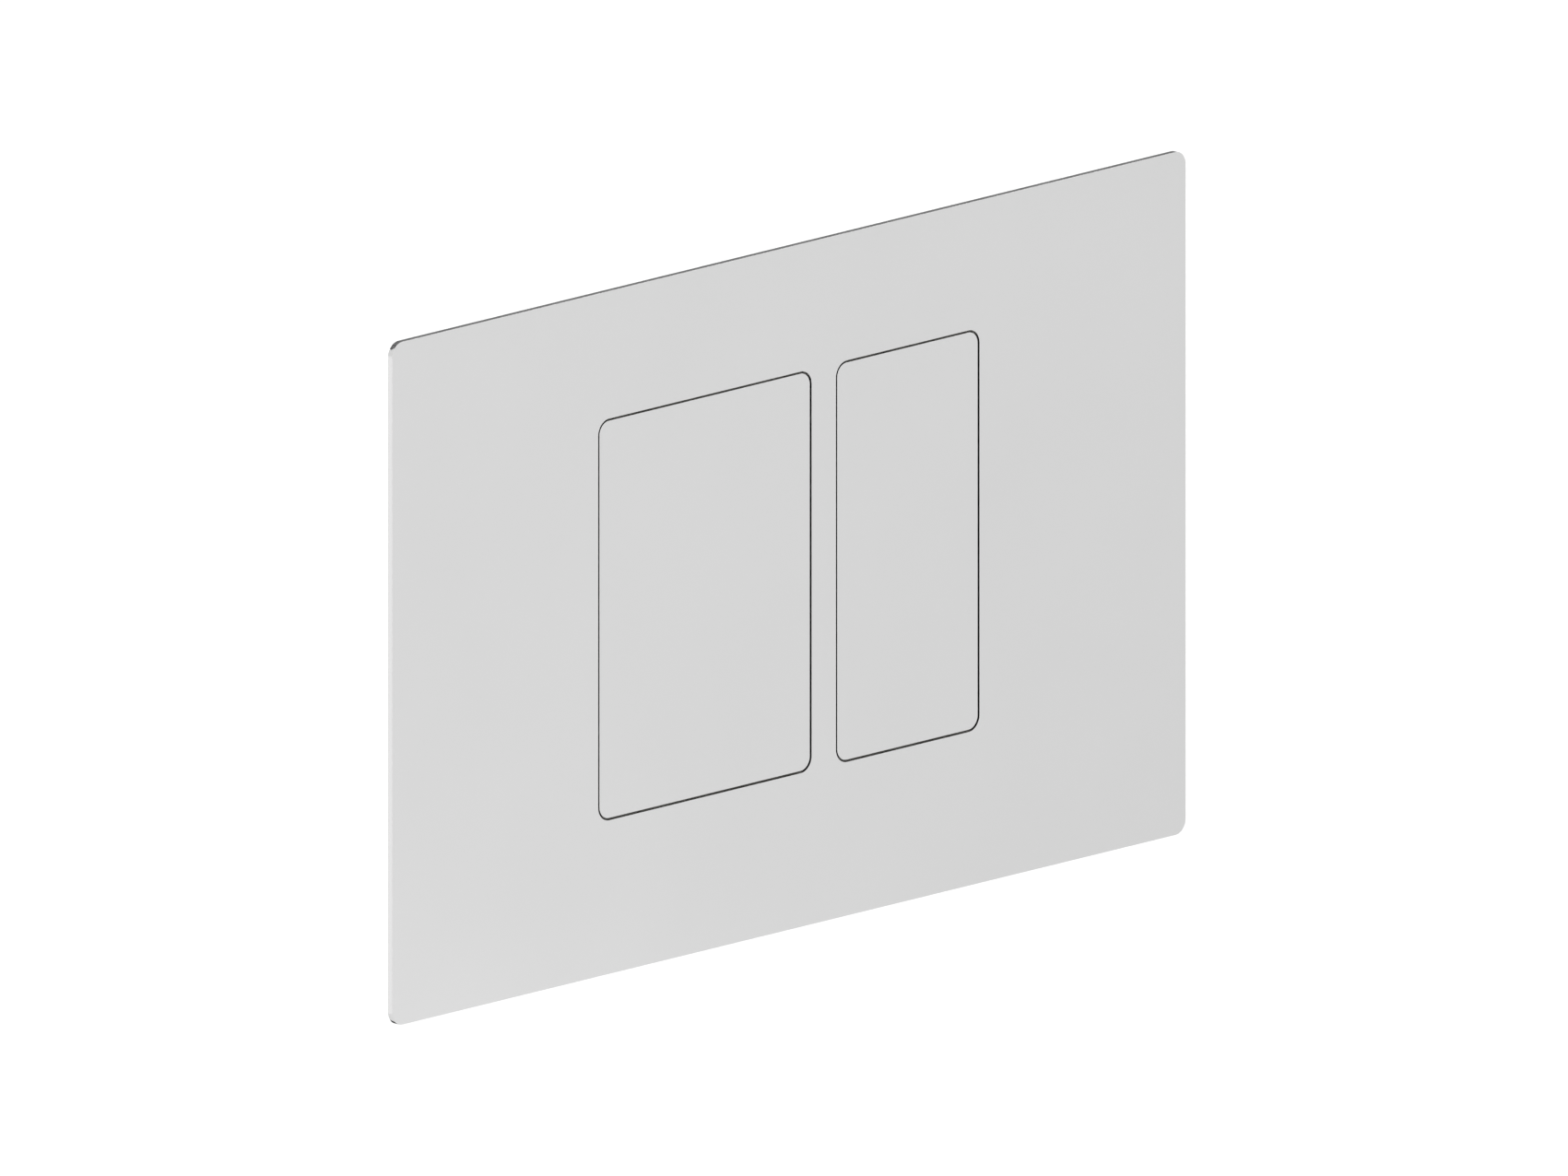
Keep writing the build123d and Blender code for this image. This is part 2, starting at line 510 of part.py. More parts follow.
# Each button: sheet face, bonding pad, rocker, torsion spring, push rod and rod cap
for button in BUTTONS:
    with BuildPart() as face:
        with BuildSketch(wall_plane(FACE_BACK)):
            with Locations((button.middle, BUTTON_RISE)):
                RectangleRounded(button.width, BUTTON_HEIGHT, BUTTON_CORNER)
        extrude(amount=SHEET)
        front = face.faces().sort_by(Axis.Y)[0]
        chamfer(front.edges(), WINDOW_BREAK)
    save(face, f"{button.name}_face")

    with BuildPart() as face_tape:
        with BuildSketch(wall_plane(ROCKER_FRONT)):
            with Locations((button.middle, BUTTON_RISE)):
                Rectangle(button.width - 2 * TAPE_INSET, BUTTON_HEIGHT - 2 * TAPE_INSET)
        extrude(amount=FACE_TAPE)
    save(face_tape, f"{button.name}_face_tape")

    left = button.middle - button.rocker_width / 2
    right = button.middle + button.rocker_width / 2
    with BuildPart() as rocker:
        with BuildSketch(wall_plane(SKIN_BACK)):
            with Locations((button.middle, BUTTON_RISE)):
                RectangleRounded(
                    button.rocker_width,
                    ROCKER_HEIGHT,
                    BUTTON_CORNER + ROCKER_RIM,
                )
        extrude(amount=ROCKER_SKIN)
        with BuildSketch(wall_plane(ROCKER_RIB_DEPTH)):
            with Locations((button.middle, BUTTON_RISE)):
                RectangleRounded(
                    button.rocker_width,
                    ROCKER_HEIGHT,
                    BUTTON_CORNER + ROCKER_RIM,
                )
                offset(amount=-RIB, kind=Kind.INTERSECTION, mode=Mode.SUBTRACT)
            with Locations((button.middle + UPPER_LEG_X, ROCKER_TOP)):
                Rectangle(SPRING_NOTCH, 4 * RIB, mode=Mode.SUBTRACT)
            rib_span = HINGE_Z - SPRING_LEG_DOWN - SPRING_SEAT_LENGTH - ROCKER_BOTTOM
            rib_pitch = rib_span / ROCKER_CROSS_RIBS
            for i in range(ROCKER_CROSS_RIBS):
                with Locations((button.middle, ROCKER_BOTTOM + (i + 1) * rib_pitch)):
                    Rectangle(button.rocker_width, RIB)
            with Locations((button.rod_x, ROCKER_BOTTOM)):
                Rectangle(RIB, rib_span, align=(Align.CENTER, Align.MIN))
        extrude(amount=ROCKER_RIB_DEPTH - SKIN_BACK)
        with BuildSketch(wall_plane(BOSS_END)):
            with Locations((button.rod_x, ROD_Z)):
                Circle(BOSS_RADIUS)
        extrude(amount=BOSS_END - SKIN_BACK)
        with BuildSketch(wall_plane(SPRING_FRONT)):
            with Locations((button.middle + LOWER_LEG_X, HINGE_Z - SPRING_LEG_DOWN)):
                Rectangle(
                    SPRING_SEAT_WIDTH,
                    SPRING_SEAT_LENGTH,
                    align=(Align.CENTER, Align.MIN),
                )
        extrude(amount=SPRING_FRONT - SKIN_BACK)
        with BuildSketch(wall_plane(TAB_FRONT + STOP_TAB_THICKNESS)):
            for side in (-1, 1):
                with Locations((button.middle + side * tab_offset[button.name], PAD_TOP)):
                    Rectangle(
                        STOP_TAB_WIDTH,
                        STOP_TAB_REACH,
                        align=(Align.CENTER, Align.MAX),
                    )
                    Rectangle(
                        STOP_TAB_WIDTH,
                        ROCKER_BOTTOM + RIB - PAD_TOP,
                        align=(Align.CENTER, Align.MIN),
                    )
        extrude(amount=STOP_TAB_THICKNESS)
        for x in (left + EYE_WIDTH / 2, right - EYE_WIDTH / 2):
            with BuildSketch(side_plane(x)):
                hinge_outline(SKIN_BACK, EYE_RADIUS)
            extrude(amount=EYE_WIDTH / 2, both=True)
        with BuildSketch(side_plane(button.middle)):
            with Locations((HINGE_DEPTH, HINGE_Z)):
                Circle(HINGE_RADIUS + RUNNING_PLAY)
        extrude(amount=button.rocker_width / 2, both=True, mode=Mode.SUBTRACT)
    save(rocker, f"{button.name}_rocker")

    leg_depth = HINGE_DEPTH - COIL_RADIUS
    upper_end = (button.middle + UPPER_LEG_X, leg_depth, HINGE_Z + SPRING_LEG_UP)
    lower_end = (button.middle + LOWER_LEG_X, leg_depth, HINGE_Z - SPRING_LEG_DOWN)
    coil = []
    for step in range(COIL_TURNS * COIL_FACETS + 1):
        turned = 2 * pi * step / COIL_FACETS
        coil.append(
            (
                upper_end[0] + COIL_PITCH * step / COIL_FACETS,
                HINGE_DEPTH - COIL_RADIUS * cos(turned),
                HINGE_Z - COIL_RADIUS * sin(turned),
            )
        )
    with BuildPart() as spring:
        with BuildLine() as wire_path:
            Polyline(upper_end, *coil, lower_end)
        with BuildSketch(Plane(upper_end, x_dir=(1, 0, 0), z_dir=(0, 0, -1))):
            RegularPolygon(WIRE / 2, WIRE_SIDES)
        sweep(path=wire_path.line, transition=Transition.RIGHT)
    save(spring, f"{button.name}_spring")

    with BuildPart() as push_rod:
        rod_front = CAP_FRONT + CAP_LENGTH - CAP_GRIP + SEAT_GAP
        with BuildSketch(wall_plane(ROD_END - TIP_LENGTH)):
            with Locations((button.rod_x, ROD_Z)):
                Circle(ROD_RADIUS)
        extrude(amount=ROD_END - TIP_LENGTH - rod_front)
        with BuildSketch(wall_plane(ROD_END)):
            with Locations((button.rod_x, ROD_Z)):
                Circle(TIP_RADIUS)
        extrude(amount=TIP_LENGTH)
        tip = push_rod.edges().filter_by(GeomType.CIRCLE).group_by(Axis.Y)[-1]
        chamfer(tip, TIP_CHAMFER)
    save(push_rod, f"{button.name}_push_rod")

    with BuildPart() as rod_cap:
        with BuildSketch(wall_plane(CAP_FRONT + CAP_LENGTH)):
            with Locations((button.rod_x, ROD_Z)):
                RegularPolygon(CAP_RADIUS, CAP_SIDES)
        extrude(amount=CAP_LENGTH)
        chamfer(rod_cap.faces().sort_by(Axis.Y)[0].edges(), CAP_CROWN)
        with BuildSketch(wall_plane(CAP_FRONT + CAP_LENGTH)):
            with Locations((button.rod_x, ROD_Z)):
                Circle(ROD_RADIUS + BEARING_PLAY)
        extrude(amount=CAP_GRIP, mode=Mode.SUBTRACT)
    save(rod_cap, f"{button.name}_rod_cap")
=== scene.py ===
"""Looks of the flush button plate: its finishes, its fine shapes, the studio and the camera.

Sizes are in millimetres in the classes and become metres when a mesh is made. The frame is the
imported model's own: X to the right as seen from the front, Z up, +Y into the wall.
"""

import json
import logging
import math
from dataclasses import dataclass
from enum import Enum
from typing import Any, ClassVar, Iterable, Sequence

import bmesh
import bpy
from bmesh.types import BMesh
from bpy.types import ID, Material, Mesh, Node, NodeSocket, NodeTree, Object
from mathutils import Matrix, Vector


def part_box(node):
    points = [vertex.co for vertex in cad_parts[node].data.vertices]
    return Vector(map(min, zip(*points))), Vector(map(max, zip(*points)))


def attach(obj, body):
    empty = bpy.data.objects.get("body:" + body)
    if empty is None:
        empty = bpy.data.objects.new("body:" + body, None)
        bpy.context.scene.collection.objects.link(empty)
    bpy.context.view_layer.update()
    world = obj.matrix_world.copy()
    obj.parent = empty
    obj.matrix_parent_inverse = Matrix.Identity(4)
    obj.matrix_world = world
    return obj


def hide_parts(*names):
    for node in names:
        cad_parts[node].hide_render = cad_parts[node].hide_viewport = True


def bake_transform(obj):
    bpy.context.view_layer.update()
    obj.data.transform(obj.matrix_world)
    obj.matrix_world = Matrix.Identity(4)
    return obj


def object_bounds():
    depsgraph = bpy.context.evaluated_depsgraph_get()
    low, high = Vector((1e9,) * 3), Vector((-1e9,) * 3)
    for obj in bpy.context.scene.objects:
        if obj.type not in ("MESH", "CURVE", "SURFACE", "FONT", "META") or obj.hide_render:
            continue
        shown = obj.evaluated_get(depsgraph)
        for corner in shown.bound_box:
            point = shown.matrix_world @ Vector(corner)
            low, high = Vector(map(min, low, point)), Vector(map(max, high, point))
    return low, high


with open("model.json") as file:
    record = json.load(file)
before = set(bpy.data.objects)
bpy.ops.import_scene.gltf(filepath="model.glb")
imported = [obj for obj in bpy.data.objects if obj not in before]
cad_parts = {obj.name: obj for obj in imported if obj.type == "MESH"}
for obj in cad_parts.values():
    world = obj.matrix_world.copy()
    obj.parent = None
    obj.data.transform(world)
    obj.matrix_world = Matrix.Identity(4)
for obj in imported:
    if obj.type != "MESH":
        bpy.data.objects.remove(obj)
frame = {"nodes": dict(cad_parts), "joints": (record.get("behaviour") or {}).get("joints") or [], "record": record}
CAD_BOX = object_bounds()
LOG = logging.getLogger("flush_plate")
MM = 0.001
# Points of one mesh that lie closer than this, in millimetres, are the same point.
WELD = 0.002
# Facets that meet at less than this, in degrees, are one round surface.
SOFT_ANGLE = 35.0
# The same for pieces with grip ridges, which have few sides.
GRIP_ANGLE = 48.0
# Straight steps in one turn of a coil or a thread, and in one turn on the lathe.
COIL_STEPS, LATHE_STEPS = 28, 48
# The turn that lays a shape from +Z to +Y.
ALONG_Y = (-math.pi / 2, 0.0, 0.0)
# The kinds of input that a shape's node tree takes.
NUMBER, COUNT = "NodeSocketFloat", "NodeSocketInt"
# What a finish draws: how its two tones mix, and the grain for its roughness and relief.
Pattern = tuple[NodeSocket, NodeSocket]


def linear(code: str) -> tuple[float, float, float, float]:
    """Turns an sRGB hex colour into linear light.

    Args:
        code: six hex digits with a leading hash.

    Returns:
        Red, green, blue and an alpha of 1.
    """
    shares = [int(code[i:i + 2], 16) / 255 for i in (1, 3, 5)]
    light = [s / 12.92 if s <= 0.04045 else ((s + 0.055) / 1.055) ** 2.4 for s in shares]
    return (light[0], light[1], light[2], 1.0)


def add_node(
    tree: NodeTree,
    kind: str,
    inputs: dict[str | int, Any] | None = None,
    **settings: Any,
) -> Node:
    """Adds a node with its settings and links.

    Args:
        tree: the node tree that gets the node.
        kind: Blender's name for the node.
        inputs: a value or an output socket for each input, by name or place.
        **settings: the node's own properties.

    Returns:
        The new node.
    """
    made = tree.nodes.new(kind)
    for name, value in settings.items():
        setattr(made, name, value)
    for key, value in (inputs or {}).items():
        if isinstance(value, NodeSocket):
            tree.links.new(value, made.inputs[key])
        else:
            made.inputs[key].default_value = value
    return made


def bare_material(name: str) -> Material:
    """Makes a material with an empty node tree.

    Args:
        name: the material's name.

    Returns:
        The new material.
    """
    material = bpy.data.materials.new(name)
    material.use_nodes = True
    material.node_tree.nodes.clear()
    return material


def new_object(name: str, data: ID) -> Object:
    """Puts mesh, curve, lamp or camera data into the scene as an object at the origin.

    Args:
        name: the object's name.
        data: its mesh, curve, lamp or camera.

    Returns:
        The new object.
    """
    made = bpy.data.objects.new(name, data)
    bpy.context.scene.collection.objects.link(made)
    return made


def plain_mesh(piece: Object, name: str) -> Mesh:
    """Turns an object with modifiers into a plain mesh and removes the object.

    Args:
        piece: the object, which goes.
        name: the name of the new mesh.

    Returns:
        The evaluated mesh.
    """
    graph = bpy.context.evaluated_depsgraph_get()
    mesh = bpy.data.meshes.new_from_object(piece.evaluated_get(graph), depsgraph=graph)
    mesh.name = name
    bpy.data.objects.remove(piece)
    return mesh


def mesh_of(shape: BMesh, name: str) -> Mesh:
    """Turns a shape under work into a mesh.

    Args:
        shape: the shape, which goes.
        name: the name of the new mesh.

    Returns:
        The new mesh.
    """
    mesh = bpy.data.meshes.new(name)
    shape.to_mesh(mesh)
    shape.free()
    return mesh


def joined(name: str, meshes: Iterable[Mesh], angle: float) -> Mesh:
    """Joins several meshes of one piece and shades their round surfaces smooth.

    Args:
        name: the name of the new mesh.
        meshes: the meshes to join, which go.
        angle: facets that meet at less than this, in degrees, are one surface.

    Returns:
        One mesh with the faces of all of them.
    """
    shape = bmesh.new()
    for mesh in meshes:
        shape.from_mesh(mesh)
        bpy.data.meshes.remove(mesh)
    whole = mesh_of(shape, name)
    smooth_below(whole, angle)
    return whole


def smooth_below(mesh: Mesh, degrees: float) -> None:
    """Shades a mesh smooth, apart from the edges that turn by more than an angle."""
    mesh.shade_smooth()
    mesh.set_sharp_from_angle(angle=math.radians(degrees))


def box_mm(node: str) -> tuple[Vector, Vector]:
    """Gives a CAD node's lowest and highest corner in millimetres."""
    low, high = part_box(node)
    return low / MM, high / MM


def node_body(node: str) -> str:
    """Gives the body that a CAD node belongs to."""
    bodies = frame["record"]["behaviour"]["bodies"]
    return next(body for body, members in bodies.items() if node in members)


@dataclass(frozen=True)
class Finish:
    """A finish of the object: a real material and how its surface was made.

    Each kind of finish draws its own pattern. It mixes the two tones, lets the roughness swing
    about its value and gives a fine relief, with its depth in millimetres.
    """

    name: str
    colour: str
    shade: str
    roughness: float
    metallic: float = 0.0
    swing: float = 0.08
    strength: float = 0.25
    depth: float = 0.03
    pattern_low: ClassVar[float] = 0.3
    pattern_high: ClassVar[float] = 0.7

    def material(self) -> Material:
        """Gives the finish's material, made once."""
        return bpy.data.materials.get(self.name) or self.build()

    def coat(self, mesh: Mesh) -> None:
        """Gives a mesh this finish all over."""
        mesh.materials.clear()
        mesh.materials.append(self.material())

    def build(self) -> Material:
        """Makes the material: its shader with the pattern's tones, roughness and relief.

        Returns:
            The new material.
        """
        material = bare_material(self.name)
        tree = material.node_tree
        tone, grain = self.pattern(tree, add_node(tree, "ShaderNodeTexCoord").outputs["Object"])
        mixed = add_node(tree, "ShaderNodeMix", {
            "Factor": tone, 6: linear(self.colour), 7: linear(self.shade),
        }, data_type="RGBA")
        ranged = add_node(tree, "ShaderNodeMapRange", {
            "Value": grain, "From Min": self.pattern_low, "From Max": self.pattern_high,
            "To Min": self.roughness - self.swing, "To Max": self.roughness + self.swing,
        })
        shader = add_node(tree, "ShaderNodeBsdfPrincipled", {
            "Base Color": linear(self.colour),
            "Roughness": self.roughness,
            "Metallic": self.metallic,
        })
        tree.links.new(mixed.outputs[2], shader.inputs["Base Color"])
        tree.links.new(ranged.outputs["Result"], shader.inputs["Roughness"])
        if self.depth:
            relief = add_node(tree, "ShaderNodeBump", {
                "Strength": self.strength, "Distance": self.depth * MM, "Height": grain,
            })
            tree.links.new(relief.outputs["Normal"], shader.inputs["Normal"])
        add_node(tree, "ShaderNodeOutputMaterial", {"Surface": shader.outputs["BSDF"]})
        return material

    def pattern(self, tree: NodeTree, place: NodeSocket) -> Pattern:
        """Draws the surface's pattern: how the tones mix, and the grain of the surface."""
        raise NotImplementedError

    def lines(
        self, tree: NodeTree, place: NodeSocket, spacing: tuple[float, float, float]
    ) -> NodeSocket:
        """Draws fine lines along one axis.

        Args:
            tree: the material's node tree.
            place: the place on the piece.
            spacing: the pattern's size along X, Y and Z, in millimetres.

        Returns:
            The pattern, from 0 to 1.
        """
        drawn_out = add_node(tree, "ShaderNodeMapping", {
            "Vector": place, "Scale": [1 / size for size in spacing],
        })
        noise = add_node(tree, "ShaderNodeTexNoise", {
            "Vector": drawn_out.outputs["Vector"], "Scale": 1 / MM, "Detail": 2.0,
        })
        return noise.outputs["Fac"]


@dataclass(frozen=True)
class PolishedSheet(Finish):
    """Polished stainless sheet: near mirror, with the faint haze and lines of its buffing."""

    swing: float = 0.012
    depth: float = 0.0
    haze: float = 38.0
    line: float = 0.5
    line_length: float = 26.0

    def pattern(self, tree: NodeTree, place: NodeSocket) -> Pattern:
        """Draws a soft haze and buffing lines along X, coarser than the real ones to show."""
        haze = add_node(tree, "ShaderNodeTexNoise", {
            "Vector": place, "Scale": 1 / (self.haze * MM), "Detail": 2.0,
        })
        return haze.outputs["Fac"], self.lines(tree, place, (self.line_length, self.line, self.line))


@dataclass(frozen=True)
class CutEdge(Finish):
    """Laser-cut steel edge: dull, with the beam's fine lines along Y; its dark colour is painted shade."""

    strength: float = 0.4
    depth: float = 0.02
    line: float = 0.16
    line_length: float = 3.0

    def pattern(self, tree: NodeTree, place: NodeSocket) -> Pattern:
        """Draws the beam's lines, for tone and grain alike."""
        lines = self.lines(tree, place, (self.line, self.line_length, self.line))
        return lines, lines


@dataclass(frozen=True)
class Moulded(Finish):
    """Injection-moulded plastic: spark-eroded grain and the slow tone of the melt's flow."""

    grain: float = 0.45
    flow: float = 22.0

    def pattern(self, tree: NodeTree, place: NodeSocket) -> Pattern:
        """Draws flow tones and the tool's grain, coarser than the real one to show.

        Args:
            tree: the material's node tree.
            place: the place on the piece.

        Returns:
            The flow and the grain.
        """
        flow = add_node(tree, "ShaderNodeTexNoise", {
            "Vector": place, "Scale": 1 / (self.flow * MM), "Detail": 3.0, "Distortion": 0.8,
        })
        grain = add_node(tree, "ShaderNodeTexNoise", {
            "Vector": place, "Scale": 1 / (self.grain * MM), "Detail": 1.0,
        })
        return flow.outputs["Fac"], grain.outputs["Fac"]


@dataclass(frozen=True)
class Foam(Finish):
    """Closed-cell foam: small bubbles cut open on a dull surface."""

    swing: float = 0.06
    strength: float = 0.8
    depth: float = 0.12
    cell: float = 0.7

    def pattern(self, tree: NodeTree, place: NodeSocket) -> Pattern:
        """Draws the cells as pits with paler walls, for tone and grain alike; the pits' darker tone is painted
        shade.
        """
        cells = add_node(tree, "ShaderNodeTexVoronoi", {
            "Vector": place, "Scale": 1 / (self.cell * MM),
        }, feature="SMOOTH_F1")
        return cells.outputs["Distance"], cells.outputs["Distance"]


@dataclass(frozen=True)
class DrawnWire(Finish):
    """Drawn bright steel: fine die lines along the bar or wire and faint oil tones."""

    strength: float = 0.15
    depth: float = 0.01
    line: float = 0.09
    line_length: float = 9.0
    tone: float = 4.0

    def pattern(self, tree: NodeTree, place: NodeSocket) -> Pattern:
        """Draws slow tones and die lines along X."""
        tones = add_node(tree, "ShaderNodeTexNoise", {
            "Vector": place, "Scale": 1 / (self.tone * MM), "Detail": 2.0,
        })
        return tones.outputs["Fac"], self.lines(tree, place, (self.line_length, self.line, self.line))


@dataclass(frozen=True)
class ZincPlate(Finish):
    """Zinc-plated steel: a cool grey with a slow straw cast and a fine crystal bloom."""

    swing: float = 0.1
    strength: float = 0.12
    depth: float = 0.01
    cast: float = 2.6
    crystal: float = 0.3

    def pattern(self, tree: NodeTree, place: NodeSocket) -> Pattern:
        """Draws the straw cast and the crystal bloom.

        Args:
            tree: the material's node tree.
            place: the place on the piece.

        Returns:
            The cast and the bloom.
        """
        cast = add_node(tree, "ShaderNodeTexNoise", {
            "Vector": place, "Scale": 1 / (self.cast * MM), "Detail": 3.0, "Distortion": 1.2,
        })
        bloom = add_node(tree, "ShaderNodeTexVoronoi", {
            "Vector": place, "Scale": 1 / (self.crystal * MM),
        })
        return cast.outputs["Fac"], bloom.outputs["Distance"]


# Bright polished sheet: pale neutral grey that takes on whatever stands round it.
SHEET = PolishedSheet("polished_stainless_steel", "#D5D5D5", "#D2D2D2", 0.12, metallic=1.0)
# Laser-cut edges of the windows and of the button faces: near-black painted shade, which draws the gaps as dark
# lines.
GAP_SHADE_EDGE = CutEdge("laser_cut_steel_edge", "#242423", "#191918", 0.5, metallic=1.0)
# Cut foam strip: almost black, with pits that catch no light.
SEAL_FOAM = Foam("closed_cell_pe_foam", "#1E1F21", "#3A3B3D", 0.9)
# Acrylic foam tape: even dull grey with small closed cells.
TAPE_FOAM = Foam("acrylic_foam_tape", "#6E7073", "#85878A", 0.75, depth=0.04, cell=0.45)
# Glass-filled nylon for the carrier: mid grey, satin.
CARRIER_NYLON = Moulded("moulded_grey_nylon", "#8F9193", "#9A9C9E", 0.48, grain=0.8)
# Natural acetal for the rockers: milky white with a soft sheen.
ROCKER_ACETAL = Moulded("moulded_white_acetal", "#E3E2DD", "#D8D7D1", 0.4, depth=0.02, grain=0.6)
# Black ABS for the mounting frame: charcoal, with a clear spark-eroded grain.
FRAME_ABS = Moulded(
    "moulded_black_abs", "#26272A", "#323438", 0.5, strength=0.8, depth=0.1, grain=1.0, flow=26.0,
)
# Blue nylon for the hand-turned nuts and caps: a clear colour that shows what a hand may turn.
NUT_NYLON = Moulded("moulded_blue_nylon", "#2B5A99", "#234C85", 0.42, grain=0.35, flow=9.0)
# Acetal bar for the push rods: white, glossier than the mouldings.
ROD_ACETAL = Moulded("turned_white_acetal", "#E6E6E2", "#DBDBD6", 0.3, depth=0.01, grain=0.3)
# Moulded rubber: near black, with a dry bloom.
STOP_RUBBER = Moulded("moulded_epdm_rubber", "#151515", "#2A2A2A", 0.8, grain=0.25, flow=3.0)
# Drawn bar for the hinge rod: bright, with lines along its length.
ROD_STEEL = DrawnWire("drawn_bright_steel", "#C6C7C9", "#B4B5B7", 0.25, metallic=1.0)
# Spring wire: a little darker than the bar, with a trace of oil.
SPRING_STEEL = DrawnWire("oil_tempered_spring_wire", "#A9A9A8", "#8E8B85", 0.3, metallic=1.0)
# Zinc plate on the studs: cool grey with a straw cast.
ZINC = ZincPlate("zinc_plated_steel", "#C3C7CB", "#C7C1B0", 0.36, metallic=1.0)


def dress(mesh: Mesh, node: str, finish: Finish, rides: bool = True) -> Object:
    """Makes a finished mesh the piece that stands for a CAD node.

    Args:
        mesh: the finished mesh, with its place in it.
        node: the CAD node that it stands for.
        finish: its finish.
        rides: whether it moves as one with the node's body.

    Returns:
        The new object.
    """
    finish.coat(mesh)
    piece = new_object(f"{node}_shape", mesh)
    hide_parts(node)
    if rides:
        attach(piece, node_body(node))
    LOG.info("%s: %d faces in %s", node, len(mesh.polygons), finish.name)
    return piece


class ShapeTree:
    """A Geometry Nodes tree that makes a shape at points or along a path."""

    def __init__(self, name: str, inputs: dict[str, str]) -> None:
        """Starts the tree.

        Args:
            name: the tree's name.
            inputs: the socket type of each named input.
        """
        self.tree = bpy.data.node_groups.new(name, "GeometryNodeTree")
        face = self.tree.interface
        face.new_socket("Geometry", in_out="INPUT", socket_type="NodeSocketGeometry")
        for label, kind in inputs.items():
            face.new_socket(label, in_out="INPUT", socket_type=kind)
        face.new_socket("Material", in_out="INPUT", socket_type="NodeSocketMaterial")
        face.new_socket("Geometry", in_out="OUTPUT", socket_type="NodeSocketGeometry")
        self.given = add_node(self.tree, "NodeGroupInput").outputs

    def close(self, shape: NodeSocket, at_points: bool = True) -> None:
        """Ends the tree in real faces with a material.

        Args:
            shape: the geometry to end with.
            at_points: whether a copy of it stands at each given point.
        """
        if at_points:
            shape = add_node(self.tree, "GeometryNodeInstanceOnPoints", {
                "Points": self.given["Geometry"], "Instance": shape,
            }).outputs[0]
        real = add_node(self.tree, "GeometryNodeRealizeInstances", {"Geometry": shape})
        done = add_node(self.tree, "GeometryNodeSetMaterial", {
            "Geometry": real.outputs[0], "Material": self.given["Material"],
        })
        add_node(self.tree, "NodeGroupOutput", {"Geometry": done.outputs[0]})

    def shape(
        self,
        points: Sequence[Vector],
        edges: Sequence[tuple[int, int]],
        finish: Finish,
        values: dict[str, Any],
    ) -> Mesh:
        """Runs the tree on points or a path.

        Args:
            points: the points, in metres.
            edges: the edges that join them into a path, if any.
            finish: the finish of the result.
            values: a value for each named input.

        Returns:
            The result as a plain mesh.
        """
        start = bpy.data.meshes.new(self.tree.name)
        start.from_pydata([tuple(p) for p in points], list(edges), [])
        carrier = new_object(self.tree.name, start)
        modifier = carrier.modifiers.new(self.tree.name, "NODES")
        modifier.node_group = self.tree
        wanted = {**values, "Material": finish.material()}
        for item in self.tree.interface.items_tree:
            if item.in_out == "INPUT" and item.name in wanted:
                modifier[item.identifier] = wanted[item.name]
        mesh = plain_mesh(carrier, self.tree.name)
        bpy.data.meshes.remove(start)
        return mesh


class RoundWire(ShapeTree):
    """A round wire along a path of points."""

    def __init__(self) -> None:
        """Builds the tree: the path as a curve, with a circle swept along it."""
        super().__init__("round_wire", {"Radius": NUMBER, "Sides": COUNT})
        path = add_node(self.tree, "GeometryNodeMeshToCurve", {"Mesh": self.given["Geometry"]})
        ring = add_node(self.tree, "GeometryNodeCurvePrimitiveCircle", {
            "Resolution": self.given["Sides"], "Radius": self.given["Radius"],
        })
        wire = add_node(self.tree, "GeometryNodeCurveToMesh", {
            "Curve": path.outputs[0], "Profile Curve": ring.outputs[0], "Fill Caps": True,
        })
        self.close(wire.outputs[0], at_points=False)


@dataclass(frozen=True)
class Thread:
    """A screw thread: its outer radius and its pitch."""

    radius: float
    pitch: float
    crest_share: ClassVar[float] = 0.36
    root_share: ClassVar[float] = 0.55

    @property
    def crest(self) -> float:
        """Gives how far the ridge reaches to each side of its middle line."""
        return self.crest_share * self.pitch

    @property
    def core(self) -> float:
        """Gives the radius of the bar under the ridge."""
        return self.radius - self.root_share * self.pitch


class ThreadRidge(ShapeTree):
    """The ridge of a screw thread about +Y, at each given point."""

    def __init__(self) -> None:
        """Builds the tree: a spiral with a small square on its corner swept along it."""
        super().__init__("thread_ridge", {
            "Radius": NUMBER, "Ridge": NUMBER, "Turns": NUMBER, "Length": NUMBER,
        })
        spiral = add_node(self.tree, "GeometryNodeCurveSpiral", {
            "Resolution": COIL_STEPS,
            "Rotations": self.given["Turns"],
            "Start Radius": self.given["Radius"],
            "End Radius": self.given["Radius"],
            "Height": self.given["Length"],
        })
        crest = add_node(self.tree, "GeometryNodeCurvePrimitiveCircle", {
            "Resolution": 4, "Radius": self.given["Ridge"],
        })
        laid = add_node(self.tree, "GeometryNodeTransform", {
            "Geometry": spiral.outputs[0], "Rotation": ALONG_Y,
        })
        ridge = add_node(self.tree, "GeometryNodeCurveToMesh", {
            "Curve": laid.outputs[0], "Profile Curve": crest.outputs[0], "Fill Caps": True,
        })
        self.close(ridge.outputs[0])

    def cut(self, thread: Thread, axis: Vector, start: float, end: float, finish: Finish) -> Mesh:
        """Makes the ridge of one thread.

        Args:
            thread: the thread's size.
            axis: a point on its axis; only its X and Z count.
            start: where the thread starts, along Y.
            end: where it ends.
            finish: the finish of the threaded piece.

        Returns:
            The ridge's mesh.
        """
        length = end - start - 2 * thread.crest
        place = Vector((axis.x, start + thread.crest, axis.z)) * MM
        return self.shape([place], [], finish, {
            "Radius": (thread.radius - thread.crest) * MM, "Ridge": thread.crest * MM,
            "Turns": length / thread.pitch, "Length": length * MM,
        })


@dataclass(frozen=True)
class Grips:
    """Grip ridges round a turned piece: the radius they stand on, their number and their size."""

    radius: float
    count: int
    ridge: float


